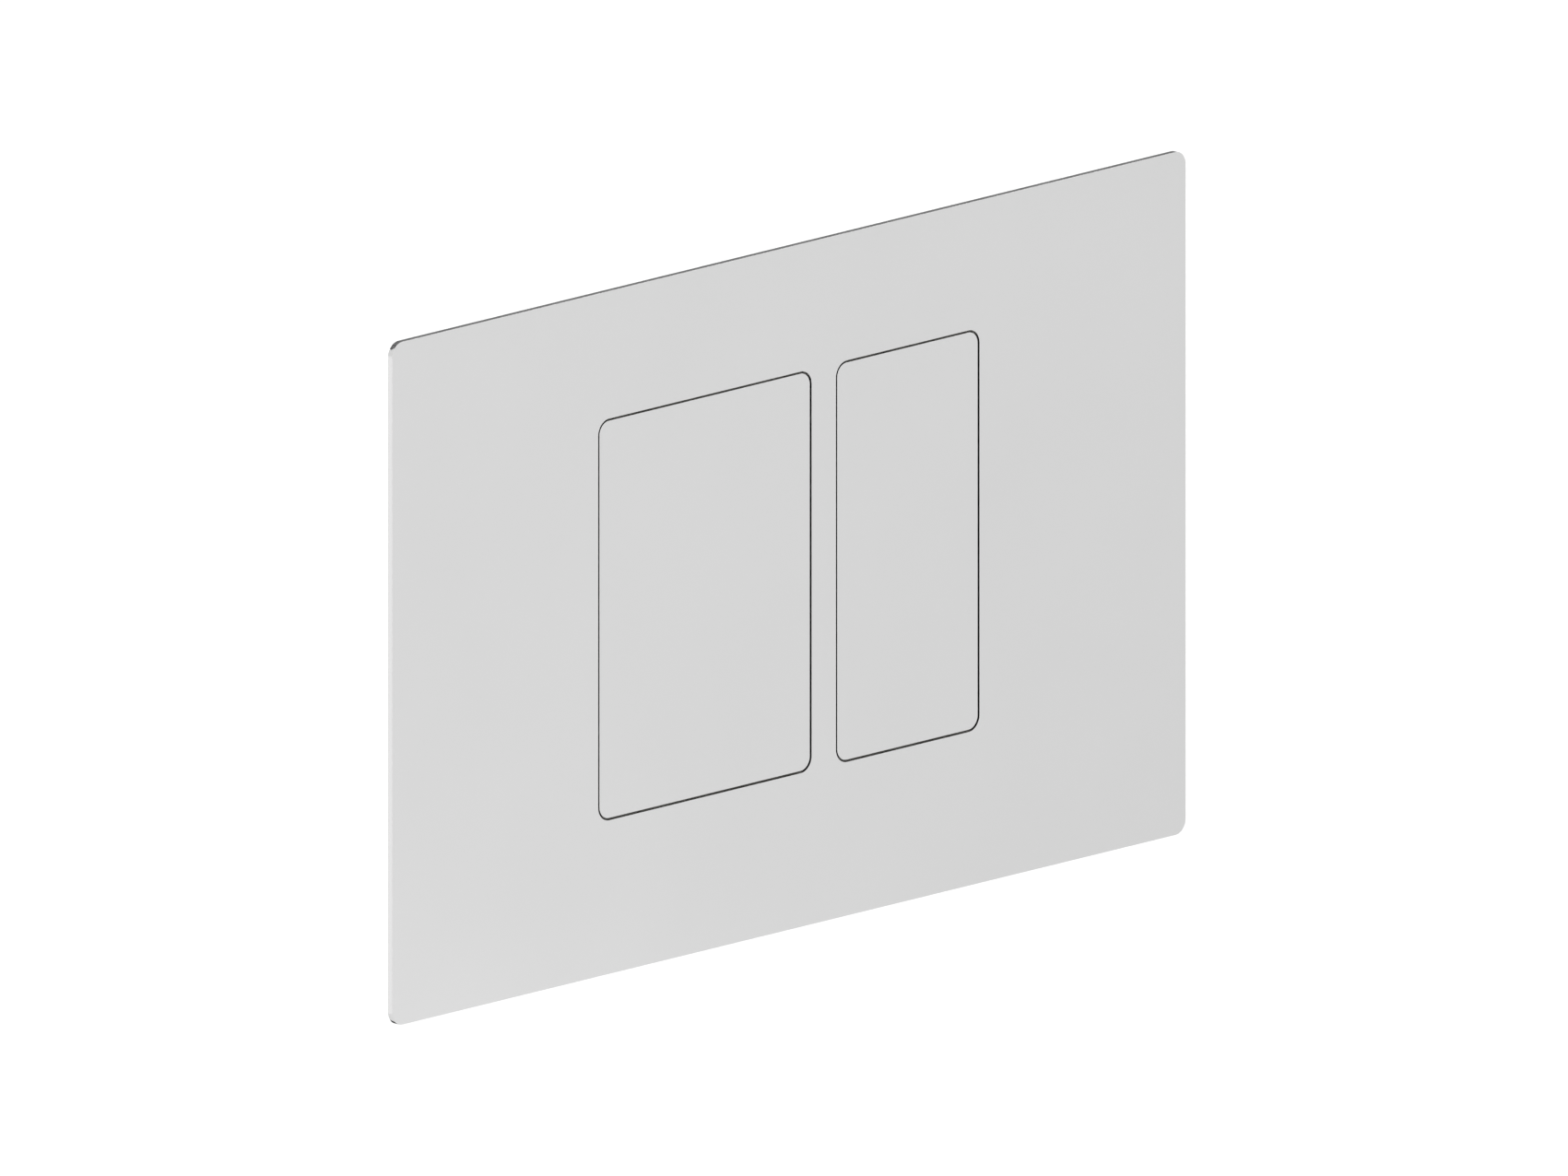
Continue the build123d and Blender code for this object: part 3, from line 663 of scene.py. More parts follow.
class GripRing(ShapeTree):
    """A ring of straight grip ridges about +Y, at each given point."""

    sides: ClassVar[int] = 8

    def __init__(self) -> None:
        """Builds the tree: slim rods set round a circle."""
        super().__init__("grip_ring", {
            "Radius": NUMBER, "Count": COUNT, "Ridge": NUMBER, "Length": NUMBER,
        })
        circle = add_node(self.tree, "GeometryNodeMeshCircle", {
            "Vertices": self.given["Count"], "Radius": self.given["Radius"],
        })
        rod = add_node(self.tree, "GeometryNodeMeshCylinder", {
            "Vertices": self.sides, "Radius": self.given["Ridge"], "Depth": self.given["Length"],
        })
        ring = add_node(self.tree, "GeometryNodeInstanceOnPoints", {
            "Points": circle.outputs[0], "Instance": rod.outputs[0],
        })
        laid = add_node(self.tree, "GeometryNodeTransform", {
            "Geometry": ring.outputs[0], "Rotation": ALONG_Y,
        })
        self.close(laid.outputs[0])

    def cut(self, grips: Grips, axis: Vector, start: float, end: float, finish: Finish) -> Mesh:
        """Makes the ridges of one piece.

        Args:
            grips: the ridges' size and number.
            axis: a point on the piece's axis; only its X and Z count.
            start: where the ridges start, along Y.
            end: where they end.
            finish: the finish of the piece.

        Returns:
            The ridges' mesh.
        """
        place = Vector((axis.x, (start + end) / 2, axis.z)) * MM
        return self.shape([place], [], finish, {
            "Radius": grips.radius * MM, "Count": grips.count,
            "Ridge": grips.ridge * MM, "Length": (end - start) * MM,
        })


class PinMarks(ShapeTree):
    """The low round marks that a mould's ejector pins leave, at given points."""

    sides: ClassVar[int] = 24

    def __init__(self) -> None:
        """Builds the tree: a flat disc at each point."""
        super().__init__("pin_marks", {"Radius": NUMBER, "Height": NUMBER})
        disc = add_node(self.tree, "GeometryNodeMeshCylinder", {
            "Vertices": self.sides, "Radius": self.given["Radius"], "Depth": self.given["Height"],
        })
        laid = add_node(self.tree, "GeometryNodeTransform", {
            "Geometry": disc.outputs[0], "Rotation": ALONG_Y,
        })
        self.close(laid.outputs[0])


def turned(name: str, axis: Vector, profile: Sequence[tuple[float, float]]) -> Mesh:
    """Turns a profile about an axis along +Y.

    Args:
        name: the name of the mesh.
        axis: a point on the axis, in millimetres; only its X and Z count.
        profile: radius and depth of each corner, from one end to the other.

    Returns:
        The closed solid of revolution.
    """
    shape = bmesh.new()
    rows = []
    for radius, depth in profile:
        row = []
        for i in range(LATHE_STEPS if radius > WELD else 1):
            turn = 2 * math.pi * i / LATHE_STEPS
            x = axis.x + radius * math.cos(turn)
            z = axis.z + radius * math.sin(turn)
            row.append(shape.verts.new((x * MM, depth * MM, z * MM)))
        rows.append(row)
    for first, second in zip(rows, rows[1:]):
        for i in range(LATHE_STEPS):
            j = (i + 1) % LATHE_STEPS
            corners = [
                first[i % len(first)], first[j % len(first)],
                second[j % len(second)], second[i % len(second)],
            ]
            shape.faces.new(list(dict.fromkeys(corners)))
    bmesh.ops.recalc_face_normals(shape, faces=shape.faces)
    return mesh_of(shape, name)


def crowned(
    radius: float, front: float, inward: float, along: float, steps: int = 3
) -> list[tuple[float, float]]:
    """Gives the profile of a turned piece's crowned front edge.

    Args:
        radius: the radius of the piece's side.
        front: where its front is, along Y.
        inward: how far the crown reaches in from the side.
        along: how far it reaches back from the front.
        steps: straight steps of the crown.

    Returns:
        Radius and depth of each point, from the side to the front.
    """
    turns = [math.pi / 2 * i / steps for i in range(steps + 1)]
    return [
        (radius - inward * (1 - math.cos(turn)), front + along * (1 - math.sin(turn)))
        for turn in turns
    ]


def eased_copy(node: str, width: float) -> Mesh:
    """Copies a CAD node's mesh and rounds its sharp edges as a mould or a die does.

    Args:
        node: the CAD node.
        width: the width of the rounding, in millimetres.

    Returns:
        The copy as a plain mesh.
    """
    flat_angle, sharp_angle = 0.6, 32.0
    shape = bmesh.new()
    shape.from_mesh(frame["nodes"][node].data)
    bmesh.ops.remove_doubles(shape, verts=shape.verts, dist=WELD * MM)
    bmesh.ops.dissolve_limit(
        shape, angle_limit=math.radians(flat_angle), verts=shape.verts, edges=shape.edges,
        use_dissolve_boundaries=False,
    )
    base = mesh_of(shape, node)
    base.shade_smooth()
    piece = new_object(node, base)
    bevel = piece.modifiers.new("eased_edges", "BEVEL")
    bevel.width = width * MM
    bevel.segments = 2
    bevel.limit_method = "ANGLE"
    bevel.angle_limit = math.radians(sharp_angle)
    evened = piece.modifiers.new("flat_sides_stay_flat", "WEIGHTED_NORMAL")
    evened.mode = "FACE_AREA"
    evened.weight = 100
    mesh = plain_mesh(piece, f"{node}_shape")
    bpy.data.meshes.remove(base)
    return mesh


@dataclass(frozen=True)
class RoundedOutline:
    """A rectangle with rounded corners in the plane of the wall."""

    middle_x: float
    middle_z: float
    width: float
    height: float
    corner: float

    @classmethod
    def of(cls, node: str, corner: float) -> "RoundedOutline":
        """Takes the outline of a flat CAD node from its box."""
        low, high = box_mm(node)
        return cls(*((low + high) / 2).xz, *(high - low).xz, corner)

    def points(self, steps: int = 14) -> list[tuple[float, float]]:
        """Gives the outline's points, corner by corner.

        Args:
            steps: straight steps in each corner.

        Returns:
            X and Z of each point, in millimetres.
        """
        reach_x = self.width / 2 - self.corner
        reach_z = self.height / 2 - self.corner
        found = []
        for quarter, (sx, sz) in enumerate(((1, 1), (-1, 1), (-1, -1), (1, -1))):
            for i in range(steps + 1):
                turn = math.pi / 2 * (quarter + i / steps)
                found.append((
                    self.middle_x + sx * reach_x + self.corner * math.cos(turn),
                    self.middle_z + sz * reach_z + self.corner * math.sin(turn),
                ))
        return found

    def grown(self, margin: float) -> "RoundedOutline":
        """Gives the outline that stands off from this one by a margin."""
        return RoundedOutline(
            self.middle_x, self.middle_z,
            self.width + 2 * margin, self.height + 2 * margin, self.corner + margin,
        )


@dataclass
class SheetParts:
    """The cover plate and the two button faces, cut from one bright sheet.

    Inside the plate's rim, faces that lean away from the sheet's plane by more than the shade's
    reach, given as a share of their normal, get painted shade that draws the gaps as dark lines.
    """

    plate_corner: float = 3.0
    face_corner: float = 2.7
    gap: float = 0.45
    plate_arris: float = 0.05
    face_arris: float = 0.04
    rim: float = 4.0
    painted_shade_reach: float = 0.8
    flat_share: ClassVar[float] = 0.9999

    def build(self) -> None:
        """Cuts the plate and its two faces."""
        plate = RoundedOutline.of("cover_plate", self.plate_corner)
        faces = {
            node: RoundedOutline.of(node, self.face_corner)
            for node in ("full_flush_face", "half_flush_face")
        }
        windows = [face.grown(self.gap) for face in faces.values()]
        self.sheet("cover_plate", plate, windows, self.plate_arris)
        for node, face in faces.items():
            self.sheet(node, face, [], self.face_arris)

    def sheet(
        self,
        node: str,
        outline: RoundedOutline,
        windows: Sequence[RoundedOutline],
        arris: float,
    ) -> None:
        """Cuts one piece of sheet with rounded arrises.

        Args:
            node: the CAD node that it stands for.
            outline: its outline.
            windows: the windows in it.
            arris: the radius of its arrises, in millimetres.
        """
        low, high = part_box(node)
        drawing = bpy.data.curves.new(node, "CURVE")
        drawing.dimensions = "2D"
        drawing.fill_mode = "BOTH"
        for loop in (outline, *windows):
            points = loop.points()
            spline = drawing.splines.new("POLY")
            spline.points.add(len(points) - 1)
            spline.use_cyclic_u = True
            for point, (x, z) in zip(spline.points, points):
                point.co = (x * MM, z * MM, 0.0, 1.0)
        drawing.bevel_depth = arris * MM
        drawing.bevel_resolution = 4
        drawing.offset = -arris * MM
        drawing.extrude = (high.y - low.y) / 2 - arris * MM
        mesh = plain_mesh(new_object(node, drawing), f"{node}_shape")
        bpy.data.curves.remove(drawing)
        mesh.transform(
            Matrix.Translation((0.0, (low.y + high.y) / 2, 0.0))
            @ Matrix.Rotation(math.pi / 2, 4, "X")
        )
        self.settle(mesh)
        dress(mesh, node, SHEET)
        # The second material is painted shade on the cut edges, which draws the gaps as dark lines.
        mesh.materials.append(GAP_SHADE_EDGE.material())

    def settle(self, mesh: Mesh) -> None:
        """Welds the sheet, keeps its flat sides flat in shading and gives its cut edges painted shade.

        Args:
            mesh: the sheet's mesh.
        """
        rim_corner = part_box("cover_plate")[1] - Vector((self.rim, 0.0, self.rim)) * MM
        shape = bmesh.new()
        shape.from_mesh(mesh)
        bmesh.ops.remove_doubles(shape, verts=shape.verts, dist=WELD * MM)
        bmesh.ops.recalc_face_normals(shape, faces=shape.faces)
        for face in shape.faces:
            face.smooth = True
            middle = face.calc_center_median()
            inside = abs(middle.x) < rim_corner.x and abs(middle.z) < rim_corner.z
            # Faces inside the rim that lean away from the sheet get the second material: painted shade of the
            # gaps.
            face.material_index = int(inside and abs(face.normal.y) < self.painted_shade_reach)
        for edge in shape.edges:
            flat = {abs(face.normal.y) > self.flat_share for face in edge.link_faces}
            edge.smooth = len(flat) == 1
        shape.to_mesh(mesh)
        shape.free()


@dataclass
class Backing:
    """The foam seal and the bonding tapes between the sheet and the mouldings."""

    seal_round: float = 0.25
    tape_round: float = 0.12

    def build(self) -> None:
        """Rounds the cut edges of the seal and the tapes."""
        dress(eased_copy("wall_seal", self.seal_round), "wall_seal", SEAL_FOAM)
        for node in ("bonding_tape", "full_flush_face_tape", "half_flush_face_tape"):
            dress(eased_copy(node, self.tape_round), node, TAPE_FOAM)


@dataclass
class EasedPiece:
    """A piece with the CAD's own shape, eased edges and the marks of ejector pins on its back."""

    node: str
    finish: Finish
    edge_round: float
    marks: Sequence[tuple[float, float]] = ()
    mark_y: float = 0.0
    mark_radius: float = 2.0
    mark_height: ClassVar[float] = 0.12

    def build(self, pin_marks: PinMarks) -> None:
        """Makes the piece and its marks.

        Args:
            pin_marks: the tree that sets out the ejector marks.
        """
        dress(eased_copy(self.node, self.edge_round), self.node, self.finish)
        if self.marks:
            self.add_marks(pin_marks)

    def add_marks(self, pin_marks: PinMarks) -> None:
        """Sets the ejector marks on the piece as a piece of their own.

        Args:
            pin_marks: the tree that sets them out.
        """
        points = [Vector((x, self.mark_y, z)) * MM for x, z in self.marks]
        discs = pin_marks.shape(points, [], self.finish, {
            "Radius": self.mark_radius * MM, "Height": self.mark_height * MM,
        })
        smooth_below(discs, SOFT_ANGLE)
        self.finish.coat(discs)
        piece = new_object(f"{self.node}_pin_marks", discs)
        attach(piece, node_body(self.node))
        LOG.info("%s: %d ejector marks", self.node, len(self.marks))


def eased_pieces() -> list[EasedPiece]:
    """Lists the mouldings, the hinge rod and the stop pads, with the places of their pin marks.

    Returns:
        The pieces in the order in which they are made.
    """
    carrier_x, carrier_y, carrier_z = 81.0, 1.8, 45.0
    bar_x, bar_y, bar_z = 66.0, 18.488, 54.4
    upright_x, upright_z = 64.0, 14.0
    rocker_y, rocker_rows = 2.1, (28.0, 6.0, -12.0, -30.0)
    rocker_reach = {"full_flush": 13.0, "half_flush": 8.0}
    corners = [(sx * carrier_x, sz * carrier_z) for sx in (-1, 1) for sz in (-1, 1)]
    bars = [(sx * bar_x, sz * bar_z) for sx in (-1, 0, 1) for sz in (-1, 1)]
    uprights = [(sx * upright_x, upright_z) for sx in (-1, 1)]
    pieces = [
        EasedPiece("button_carrier", CARRIER_NYLON, edge_round=0.25, marks=corners, mark_y=carrier_y),
        EasedPiece("hinge_rod", ROD_STEEL, edge_round=0.1),
        EasedPiece("stop_pads", STOP_RUBBER, edge_round=0.2),
        EasedPiece(
            "mounting_frame", FRAME_ABS, edge_round=0.3, marks=bars + uprights, mark_y=bar_y,
            mark_radius=2.5,
        ),
    ]
    for name, reach in rocker_reach.items():
        low, high = box_mm(f"{name}_rocker")
        middle = (low.x + high.x) / 2
        marks = [(middle + sx * reach, z) for sx in (-1, 1) for z in rocker_rows]
        pieces.append(EasedPiece(
            f"{name}_rocker", ROCKER_ACETAL, edge_round=0.2, marks=marks, mark_y=rocker_y,
        ))
    return pieces


@dataclass
class Spring:
    """A torsion spring on the hinge rod, with one leg on the carrier and one on the rocker."""

    name: str
    hinge: Vector
    upper_end: float
    lower_end: float
    wire: float = 0.8
    sides: int = 14
    coil_radius: float = 2.1
    turns: int = 3
    pitch: float = 0.95

    @classmethod
    def of(cls, name: str) -> "Spring":
        """Takes the hinge line and the ends of the legs from the frame.

        Args:
            name: the button's name.

        Returns:
            The spring.
        """
        hinge = next(j["pos_m"] for j in frame["joints"] if j["name"] == f"{name}_press")
        low, high = box_mm(f"{name}_spring")
        return cls(name, Vector(hinge) / MM, high.z, low.z)

    def path(self) -> list[Vector]:
        """Gives the middle line of the wire.

        Returns:
            The points from the upper end to the lower end, in metres.
        """
        start_x = self.hinge.x - self.turns * self.pitch / 2
        leg_y = self.hinge.y - self.coil_radius
        points = [Vector((start_x, leg_y, self.upper_end))]
        for i in range(COIL_STEPS * self.turns + 1):
            turn = 2 * math.pi * i / COIL_STEPS
            points.append(Vector((
                start_x + self.pitch * i / COIL_STEPS,
                self.hinge.y - self.coil_radius * math.cos(turn),
                self.hinge.z - self.coil_radius * math.sin(turn),
            )))
        points.append(Vector((points[-1].x, leg_y, self.lower_end)))
        return [p * MM for p in points]

    def build(self, round_wire: RoundWire) -> None:
        """Winds the spring; it stays in place and moves with no body.

        Args:
            round_wire: the tree that sweeps a wire along a path.
        """
        points = self.path()
        edges = [(i, i + 1) for i in range(len(points) - 1)]
        mesh = round_wire.shape(points, edges, SPRING_STEEL, {
            "Radius": self.wire / 2 * MM, "Sides": self.sides,
        })
        smooth_below(mesh, SOFT_ANGLE)
        piece = dress(mesh, f"{self.name}_spring", SPRING_STEEL, rides=False)
        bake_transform(piece)


@dataclass
class Fixing:
    """A fixing stud with its hexagon collar and its knurled hand nut, clamped on the frame's bar."""

    side: str
    axis: Vector
    front: float
    back: float
    nut_front: float
    nut_back: float
    neck: Thread = Thread(2.5, 0.8)
    rear: Thread = Thread(3.0, 1.0)
    point: float = 0.4
    tip: float = 0.8
    bar: float = 2.5
    collar: float = 2.2
    collar_radius: float = 5.5
    collar_edge: float = 0.25
    washer: float = 1.0
    washer_radius: float = 9.0
    grips: Grips = Grips(7.5, 36, 0.42)
    grip_front: float = 0.9
    crown: float = 0.7
    edge: float = 0.2
    play: float = 0.02

    @classmethod
    def of(cls, side: str) -> "Fixing":
        """Takes the places of a stud and its nut from their CAD boxes."""
        (low, high), nut = box_mm(f"{side}_fixing_stud"), box_mm(f"{side}_clamp_nut")
        return cls(side, (low + high) / 2, low.y, high.y, nut[0].y, nut[1].y)

    def build(self, ridge: ThreadRidge, grip: GripRing) -> None:
        """Makes the stud and the nut.

        Args:
            ridge: the tree that makes a thread's ridge.
            grip: the tree that makes a ring of grip ridges.
        """
        collar_front = self.nut_back + self.bar
        collar_back = collar_front + self.collar
        middle = (collar_front + collar_back) / 2
        core = turned("stud_core", self.axis, (
            (0.0, self.front), (self.neck.core - self.point, self.front),
            (self.neck.core, self.front + self.point), (self.neck.core, middle),
            (self.rear.core, middle), (self.rear.core, self.back - self.tip),
            (self.rear.core - self.tip, self.back), (0.0, self.back),
        ))
        stud = joined("stud", (
            core,
            self.hexagon(middle),
            ridge.cut(self.neck, self.axis, self.front + self.point / 2, collar_front, ZINC),
            ridge.cut(self.rear, self.axis, collar_back, self.back - self.tip / 2, ZINC),
        ), SOFT_ANGLE)
        dress(stud, f"{self.side}_fixing_stud", ZINC)
        dress(self.nut(grip), f"{self.side}_clamp_nut", NUT_NYLON)

    def hexagon(self, middle: float) -> Mesh:
        """Makes the hexagon collar with its turned corners.

        Args:
            middle: the place of its middle along Y.

        Returns:
            The collar's mesh.
        """
        shape = bmesh.new()
        bmesh.ops.create_cone(
            shape, cap_ends=True, segments=6, radius1=self.collar_radius * MM,
            radius2=self.collar_radius * MM, depth=self.collar * MM,
        )
        bmesh.ops.transform(
            shape, verts=shape.verts,
            matrix=Matrix.Translation(Vector((self.axis.x, middle, self.axis.z)) * MM)
            @ Matrix.Rotation(-math.pi / 2, 4, "X") @ Matrix.Rotation(math.pi / 2, 4, "Z"),
        )
        bmesh.ops.bevel(
            shape, geom=shape.edges, offset=self.collar_edge * MM, segments=2, affect="EDGES",
            profile=0.5,
        )
        return mesh_of(shape, "collar")

    def nut(self, grip: GripRing) -> Mesh:
        """Makes the knurled nut with its washer face.

        Args:
            grip: the tree that makes a ring of grip ridges.

        Returns:
            The nut's mesh.
        """
        bore = self.neck.radius + self.play
        seat = self.nut_back - self.washer
        body = turned("nut_body", self.axis, (
            (bore, self.nut_back), (self.washer_radius - self.edge, self.nut_back),
            (self.washer_radius, self.nut_back - self.edge), (self.washer_radius, seat + self.edge),
            (self.washer_radius - self.edge, seat), (self.grips.radius, seat),
            *crowned(self.grips.radius, self.nut_front, self.crown, self.crown),
            (bore + self.tip, self.nut_front), (bore, self.nut_front + self.tip),
            (bore, self.nut_back),
        ))
        ridges = grip.cut(
            self.grips, self.axis, self.nut_front + self.grip_front, seat - self.edge, NUT_NYLON,
        )
        return joined("nut", (body, ridges), GRIP_ANGLE)


@dataclass
class PushRod:
    """A push rod with an adjusting thread, break-off grooves and a ridged cap."""

    name: str
    axis: Vector
    front: float
    tip_end: float
    cap_front: float
    cap_back: float
    thread: Thread = Thread(2.5, 1.25)
    thread_end: float = 36.0
    lead: float = 0.6
    groove: float = 0.45
    groove_pitch: float = 4.0
    shoulder: float = 60.0
    tip_radius: float = 2.0
    edge: float = 0.3
    cap_depth: float = 3.0
    grips: Grips = Grips(4.5, 24, 0.38)
    grip_front: float = 1.4
    crown_in: float = 1.6
    crown_along: float = 1.1
    play: float = 0.02

    @classmethod
    def of(cls, name: str) -> "PushRod":
        """Takes the places of a rod and its cap from their CAD boxes."""
        rod, (low, high) = box_mm(f"{name}_push_rod"), box_mm(f"{name}_rod_cap")
        return cls(name, (low + high) / 2, rod[0].y, rod[1].y, low.y, high.y)

    def profile(self) -> list[tuple[float, float]]:
        """Gives the rod's profile.

        Returns:
            Radius and depth of each corner, from the front to the tip.
        """
        core, radius = self.thread.core, self.thread.radius
        corners = [
            (0.0, self.front), (core - self.edge, self.front), (core, self.front + self.edge),
            (core, self.thread_end), (radius, self.thread_end + self.lead),
        ]
        depth = self.thread_end + self.groove_pitch
        while depth < self.shoulder - self.groove_pitch / 2:
            corners += [
                (radius, depth - self.groove), (radius - self.groove, depth),
                (radius, depth + self.groove),
            ]
            depth += self.groove_pitch
        corners += [
            (radius, self.shoulder - self.edge), (radius - self.edge, self.shoulder),
            (self.tip_radius, self.shoulder), (self.tip_radius, self.tip_end - self.lead),
            (self.tip_radius - self.lead, self.tip_end), (0.0, self.tip_end),
        ]
        return corners

    def build(self, ridge: ThreadRidge, grip: GripRing) -> None:
        """Makes the rod and its cap.

        Args:
            ridge: the tree that makes a thread's ridge.
            grip: the tree that makes a ring of grip ridges.
        """
        rod = joined("rod", (
            turned("rod_core", self.axis, self.profile()),
            ridge.cut(self.thread, self.axis, self.front, self.thread_end, ROD_ACETAL),
        ), SOFT_ANGLE)
        dress(rod, f"{self.name}_push_rod", ROD_ACETAL)
        dress(self.cap(grip), f"{self.name}_rod_cap", NUT_NYLON)

    def cap(self, grip: GripRing) -> Mesh:
        """Makes the cap with its crowned front.

        Args:
            grip: the tree that makes a ring of grip ridges.

        Returns:
            The cap's mesh.
        """
        bore = self.thread.radius + self.play
        floor, side = self.cap_back - self.cap_depth, self.grips.radius
        body = turned("cap_body", self.axis, (
            (0.0, floor), (bore, floor), (bore, self.cap_back - self.edge),
            (bore + self.edge, self.cap_back), (side - self.edge, self.cap_back),
            (side, self.cap_back - self.edge),
            *crowned(side, self.cap_front, self.crown_in, self.crown_along),
            (0.0, self.cap_front),
        ))
        ridges = grip.cut(
            self.grips, self.axis, self.cap_front + self.grip_front, self.cap_back - self.edge,
            NUT_NYLON,
        )
        return joined("cap", (body, ridges), GRIP_ANGLE)


class LampRole(Enum):
    """What a studio lamp is for: place and size in metres, power in watts, and if it is mirrored."""

    KEY = ((-1.3, -1.8, 1.35), 1.2, 26.0, False)
    FILL = ((0.95, -2.7, 1.5), 1.4, 25.0, False)
    BACK = ((-0.6, 2.2, 1.9), 1.4, 32.0, True)
    RIM = ((1.7, 1.5, 1.4), 1.2, 16.0, True)


class Card(Enum):
    """The cards behind the plate: corners in metres, colour and brightness."""

    # The two flags darken the sheet's top edge, most of all at its left corner.
    BLACK_FLAG = (
        ((-0.62, 0.7, 0.5), (-0.06, 0.7, 0.5), (-0.06, 0.7, 1.2), (-0.62, 0.7, 1.2)),
        "#060606", 1.0,
    )
    GREY_FLAG = (
        ((-0.06, 0.7, 0.1), (1.2, 0.7, 0.1), (1.2, 0.7, 1.2), (-0.06, 0.7, 1.2)),
        "#7E7E7E", 1.0,
    )
    # The low flag darkens the lower left corner.
    LOW_FLAG = (
        ((-0.09, 0.15, -0.25), (0.12, 0.15, -0.25), (0.12, 0.3, -0.25), (-0.09, 0.3, -0.25)),
        "#262626", 1.0,
    )
    # The bounce keeps the sheet's left edge white.
    WHITE_BOUNCE = (
        ((-1.0, -0.1, -0.29), (-0.1, 0.8, -0.29), (-0.1, 0.8, 0.0), (-1.0, -0.1, 0.0)),
        "#FFFFFF", 1.2,
    )


class FloorPatch(Enum):
    """Where the floor's glow changes: centre and two distances in metres, and the change at each."""

    # Close before the plate the floor has no glow of its own, so the sheet stays grey from above.
    POOL = ((0.0, -0.35), (0.2, 0.5), (-0.2, 0.0))
    # A small bright spot lights the sheet towards its lower left corner.
    SPOT = ((0.5, -0.6), (0.0, 0.15), (0.08, 0.0))
    # Far away the floor turns white, like the surround that it meets.
    FAR = ((0.0, 0.0), (1.7, 4.0), (0.0, 0.45))


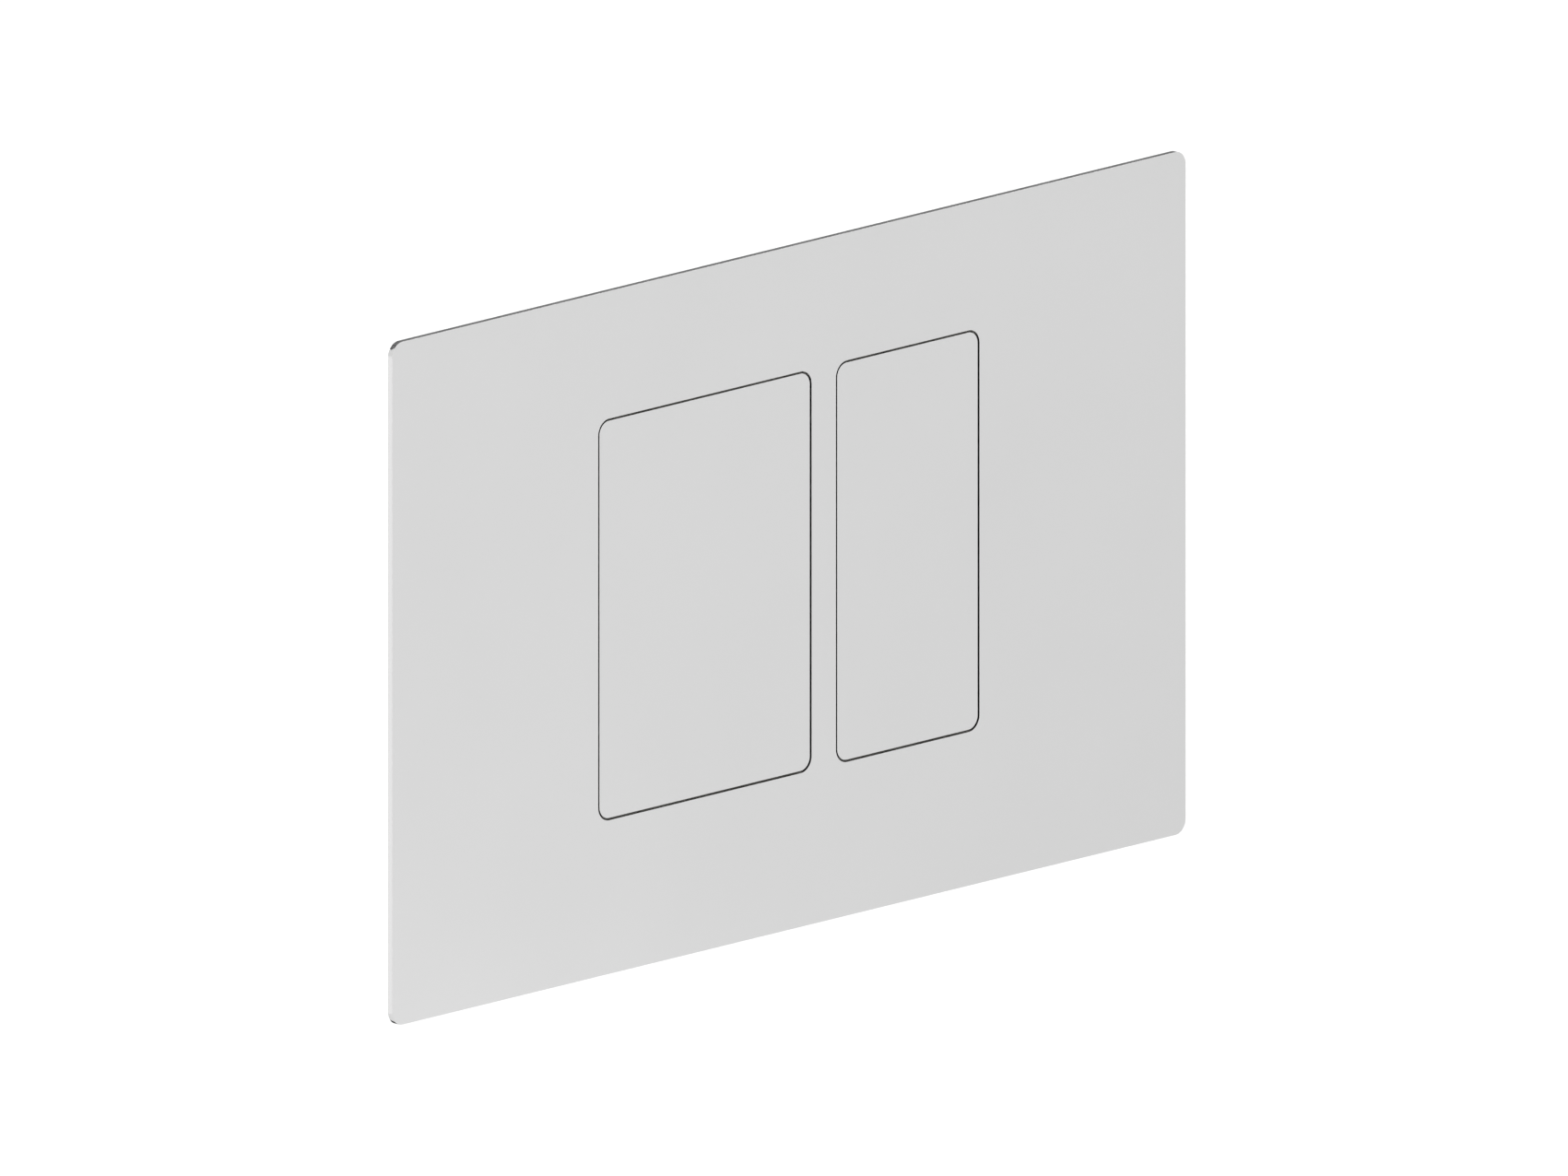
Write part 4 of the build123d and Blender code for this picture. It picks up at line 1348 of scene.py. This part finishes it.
@dataclass
class Studio:
    """The white studio: floor, surround, lamps, cards and the camera.

    Places are in metres, apart from the camera's two shifts in millimetres. The floor glows a
    little less to the right of the plate than to its left, and evens out towards the viewer.
    """

    azimuth: float = -45.0
    elevation: float = 14.2
    image_width: int = 1701
    pixels_per_mm: float = 5.2935
    shift_right: float = -1.02
    shift_up: float = 0.076
    distance: float = 1.2
    ambient: float = 0.5
    floor_colour: str = "#E4E4E4"
    floor_drop: float = 0.3
    floor_reach: float = 4.0
    glow: float = 0.2
    glow_left: float = 0.008
    glow_right: float = -0.062
    grade_reach: float = 0.115
    even_y: float = -1.04
    graded_y: float = -0.64

    def build(self) -> None:
        """Sets up the whole studio."""
        bpy.context.scene.view_settings.view_transform = "Standard"
        self.add_surround()
        self.add_floor()
        for card in Card:
            self.add_card(card)
        self.add_lamps()
        self.add_camera()

    def seen(self, tree: NodeTree) -> NodeSocket:
        """Gives 1 where the camera sees a surface, mirrored or through another, and else 0.

        Args:
            tree: the node tree of the world or the floor.

        Returns:
            The output socket.
        """
        rays = add_node(tree, "ShaderNodeLightPath").outputs
        plain = add_node(tree, "ShaderNodeMath", {
            0: rays["Is Camera Ray"], 1: rays["Is Glossy Ray"],
        }, operation="MAXIMUM")
        return add_node(tree, "ShaderNodeMath", {
            0: plain.outputs[0], 1: rays["Is Transmission Ray"],
        }, operation="MAXIMUM").outputs[0]

    def add_surround(self) -> None:
        """Makes the world: white to the eye and in reflections, softer as a light."""
        world = bpy.data.worlds.new("white_studio")
        world.use_nodes = True
        tree = world.node_tree
        tree.nodes.clear()
        level = add_node(tree, "ShaderNodeMapRange", {
            "Value": self.seen(tree), "To Min": self.ambient, "To Max": 1.0,
        })
        glow = add_node(tree, "ShaderNodeBackground", {
            "Color": linear("#FFFFFF"), "Strength": level.outputs["Result"],
        })
        add_node(tree, "ShaderNodeOutputWorld", {"Surface": glow.outputs[0]})
        bpy.context.scene.world = world

    def add_sheet(
        self, name: str, corners: Sequence[tuple[float, float, float]], material: Material
    ) -> Object:
        """Adds a flat sheet to the stage.

        Args:
            name: its name.
            corners: its four corners, in metres.
            material: its material.

        Returns:
            The sheet's object.
        """
        mesh = bpy.data.meshes.new(name)
        mesh.from_pydata(corners, [], [(0, 1, 2, 3)])
        mesh.materials.append(material)
        sheet = new_object(name, mesh)
        return sheet

    def add_floor(self) -> None:
        """Lays a pale floor that reads white and keeps the object's shadow."""
        material = bare_material("studio_floor")
        tree = material.node_tree
        paper = add_node(tree, "ShaderNodeBsdfDiffuse", {"Color": linear(self.floor_colour)})
        level = add_node(tree, "ShaderNodeMath", {
            0: self.seen(tree), 1: self.floor_glow(tree),
        }, operation="MULTIPLY")
        glow = add_node(tree, "ShaderNodeEmission", {
            "Color": linear("#FFFFFF"), "Strength": level.outputs[0],
        })
        both = add_node(tree, "ShaderNodeAddShader", {0: paper.outputs[0], 1: glow.outputs[0]})
        add_node(tree, "ShaderNodeOutputMaterial", {"Surface": both.outputs[0]})
        self.add_sheet("studio_floor", [
            (sx * self.floor_reach, sy * self.floor_reach, -self.floor_drop)
            for sx, sy in ((-1, -1), (1, -1), (1, 1), (-1, 1))
        ], material)

    def floor_glow(self, tree: NodeTree) -> NodeSocket:
        """Grades the floor's glow; what the camera sees itself never falls below the plain glow.

        Args:
            tree: the floor's node tree.

        Returns:
            The strength of the floor's glow.
        """
        place = add_node(tree, "ShaderNodeTexCoord").outputs["Object"]
        axes = add_node(tree, "ShaderNodeSeparateXYZ", {"Vector": place}).outputs
        across = add_node(tree, "ShaderNodeMath", {0: axes["X"], 1: axes["Y"]}, operation="ADD")
        grade = add_node(tree, "ShaderNodeMapRange", {
            "Value": across.outputs[0],
            "From Min": -self.grade_reach, "From Max": self.grade_reach,
            "To Min": self.glow_left, "To Max": self.glow_right,
        })
        graded = add_node(tree, "ShaderNodeMapRange", {
            "Value": axes["Y"], "From Min": self.even_y, "From Max": self.graded_y,
        })
        glow = add_node(tree, "ShaderNodeMath", {
            0: grade.outputs["Result"], 1: graded.outputs["Result"], 2: self.glow,
        }, operation="MULTIPLY_ADD")
        for patch in FloorPatch:
            centre, distances, changes = patch.value
            away = add_node(tree, "ShaderNodeVectorMath", {
                0: place, 1: (*centre, -self.floor_drop),
            }, operation="DISTANCE")
            change = add_node(tree, "ShaderNodeMapRange", {
                "Value": away.outputs["Value"],
                "From Min": distances[0], "From Max": distances[1],
                "To Min": changes[0], "To Max": changes[1],
            })
            glow = add_node(tree, "ShaderNodeMath", {
                0: glow.outputs[0], 1: change.outputs["Result"],
            }, operation="ADD")
        direct = add_node(tree, "ShaderNodeMath", {
            0: add_node(tree, "ShaderNodeLightPath").outputs["Is Camera Ray"], 1: self.glow,
        }, operation="MULTIPLY")
        return add_node(tree, "ShaderNodeMath", {
            0: glow.outputs[0], 1: direct.outputs[0],
        }, operation="MAXIMUM").outputs[0]

    def add_card(self, card: Card) -> None:
        """Stands a card behind the plate that only polished surfaces mirror.

        Args:
            card: the card's corners, colour and brightness.
        """
        corners, colour, level = card.value
        name = f"studio_{card.name.lower()}"
        material = bare_material(name)
        cloth = add_node(material.node_tree, "ShaderNodeEmission", {
            "Color": linear(colour), "Strength": level,
        })
        add_node(material.node_tree, "ShaderNodeOutputMaterial", {"Surface": cloth.outputs[0]})
        held = self.add_sheet(name, corners, material)
        held.visible_camera = False
        held.visible_diffuse = False
        held.visible_shadow = False
        held.visible_transmission = False

    def add_lamps(self) -> None:
        """Hangs the soft lamps, each turned to the object."""
        for role in LampRole:
            place, size, power, mirrored = role.value
            lamp = bpy.data.lights.new(f"{role.name.lower()}_lamp", "AREA")
            lamp.size = size
            lamp.energy = power
            held = new_object(lamp.name, lamp)
            held.visible_glossy = mirrored
            held.location = place
            held.rotation_euler = (-Vector(place)).to_track_quat("-Z", "Y").to_euler()

    def add_camera(self) -> None:
        """Sets the camera at the photograph's angle, with parallel lines kept parallel."""
        turn, rise = math.radians(self.azimuth), math.radians(self.elevation)
        out = Vector((
            math.sin(turn) * math.cos(rise), -math.cos(turn) * math.cos(rise), math.sin(rise),
        ))
        right = Vector((math.cos(turn), math.sin(turn), 0.0))
        front = Vector((0.0, CAD_BOX[0][1], 0.0))
        aim = front + (self.shift_right * right + self.shift_up * out.cross(right)) * MM
        lens = bpy.data.cameras.new("photo_camera")
        lens.type = "ORTHO"
        lens.ortho_scale = self.image_width / self.pixels_per_mm * MM
        camera = new_object("photo_camera", lens)
        camera.location = aim + out * self.distance
        camera.rotation_euler = (-out).to_track_quat("-Z", "Y").to_euler()
        bpy.context.scene.camera = camera


def main() -> None:
    """Builds the object's pieces in order, then the studio."""
    logging.basicConfig(level=logging.INFO, format="%(message)s")
    round_wire, ridge, grip, pin_marks = RoundWire(), ThreadRidge(), GripRing(), PinMarks()
    SheetParts().build()
    Backing().build()
    for piece in eased_pieces():
        piece.build(pin_marks)
    for name in ("full_flush", "half_flush"):
        Spring.of(name).build(round_wire)
        PushRod.of(name).build(ridge, grip)
    for side in ("left", "right"):
        Fixing.of(side).build(ridge, grip)
    Studio().build()


if __name__ == "__main__":
    main()
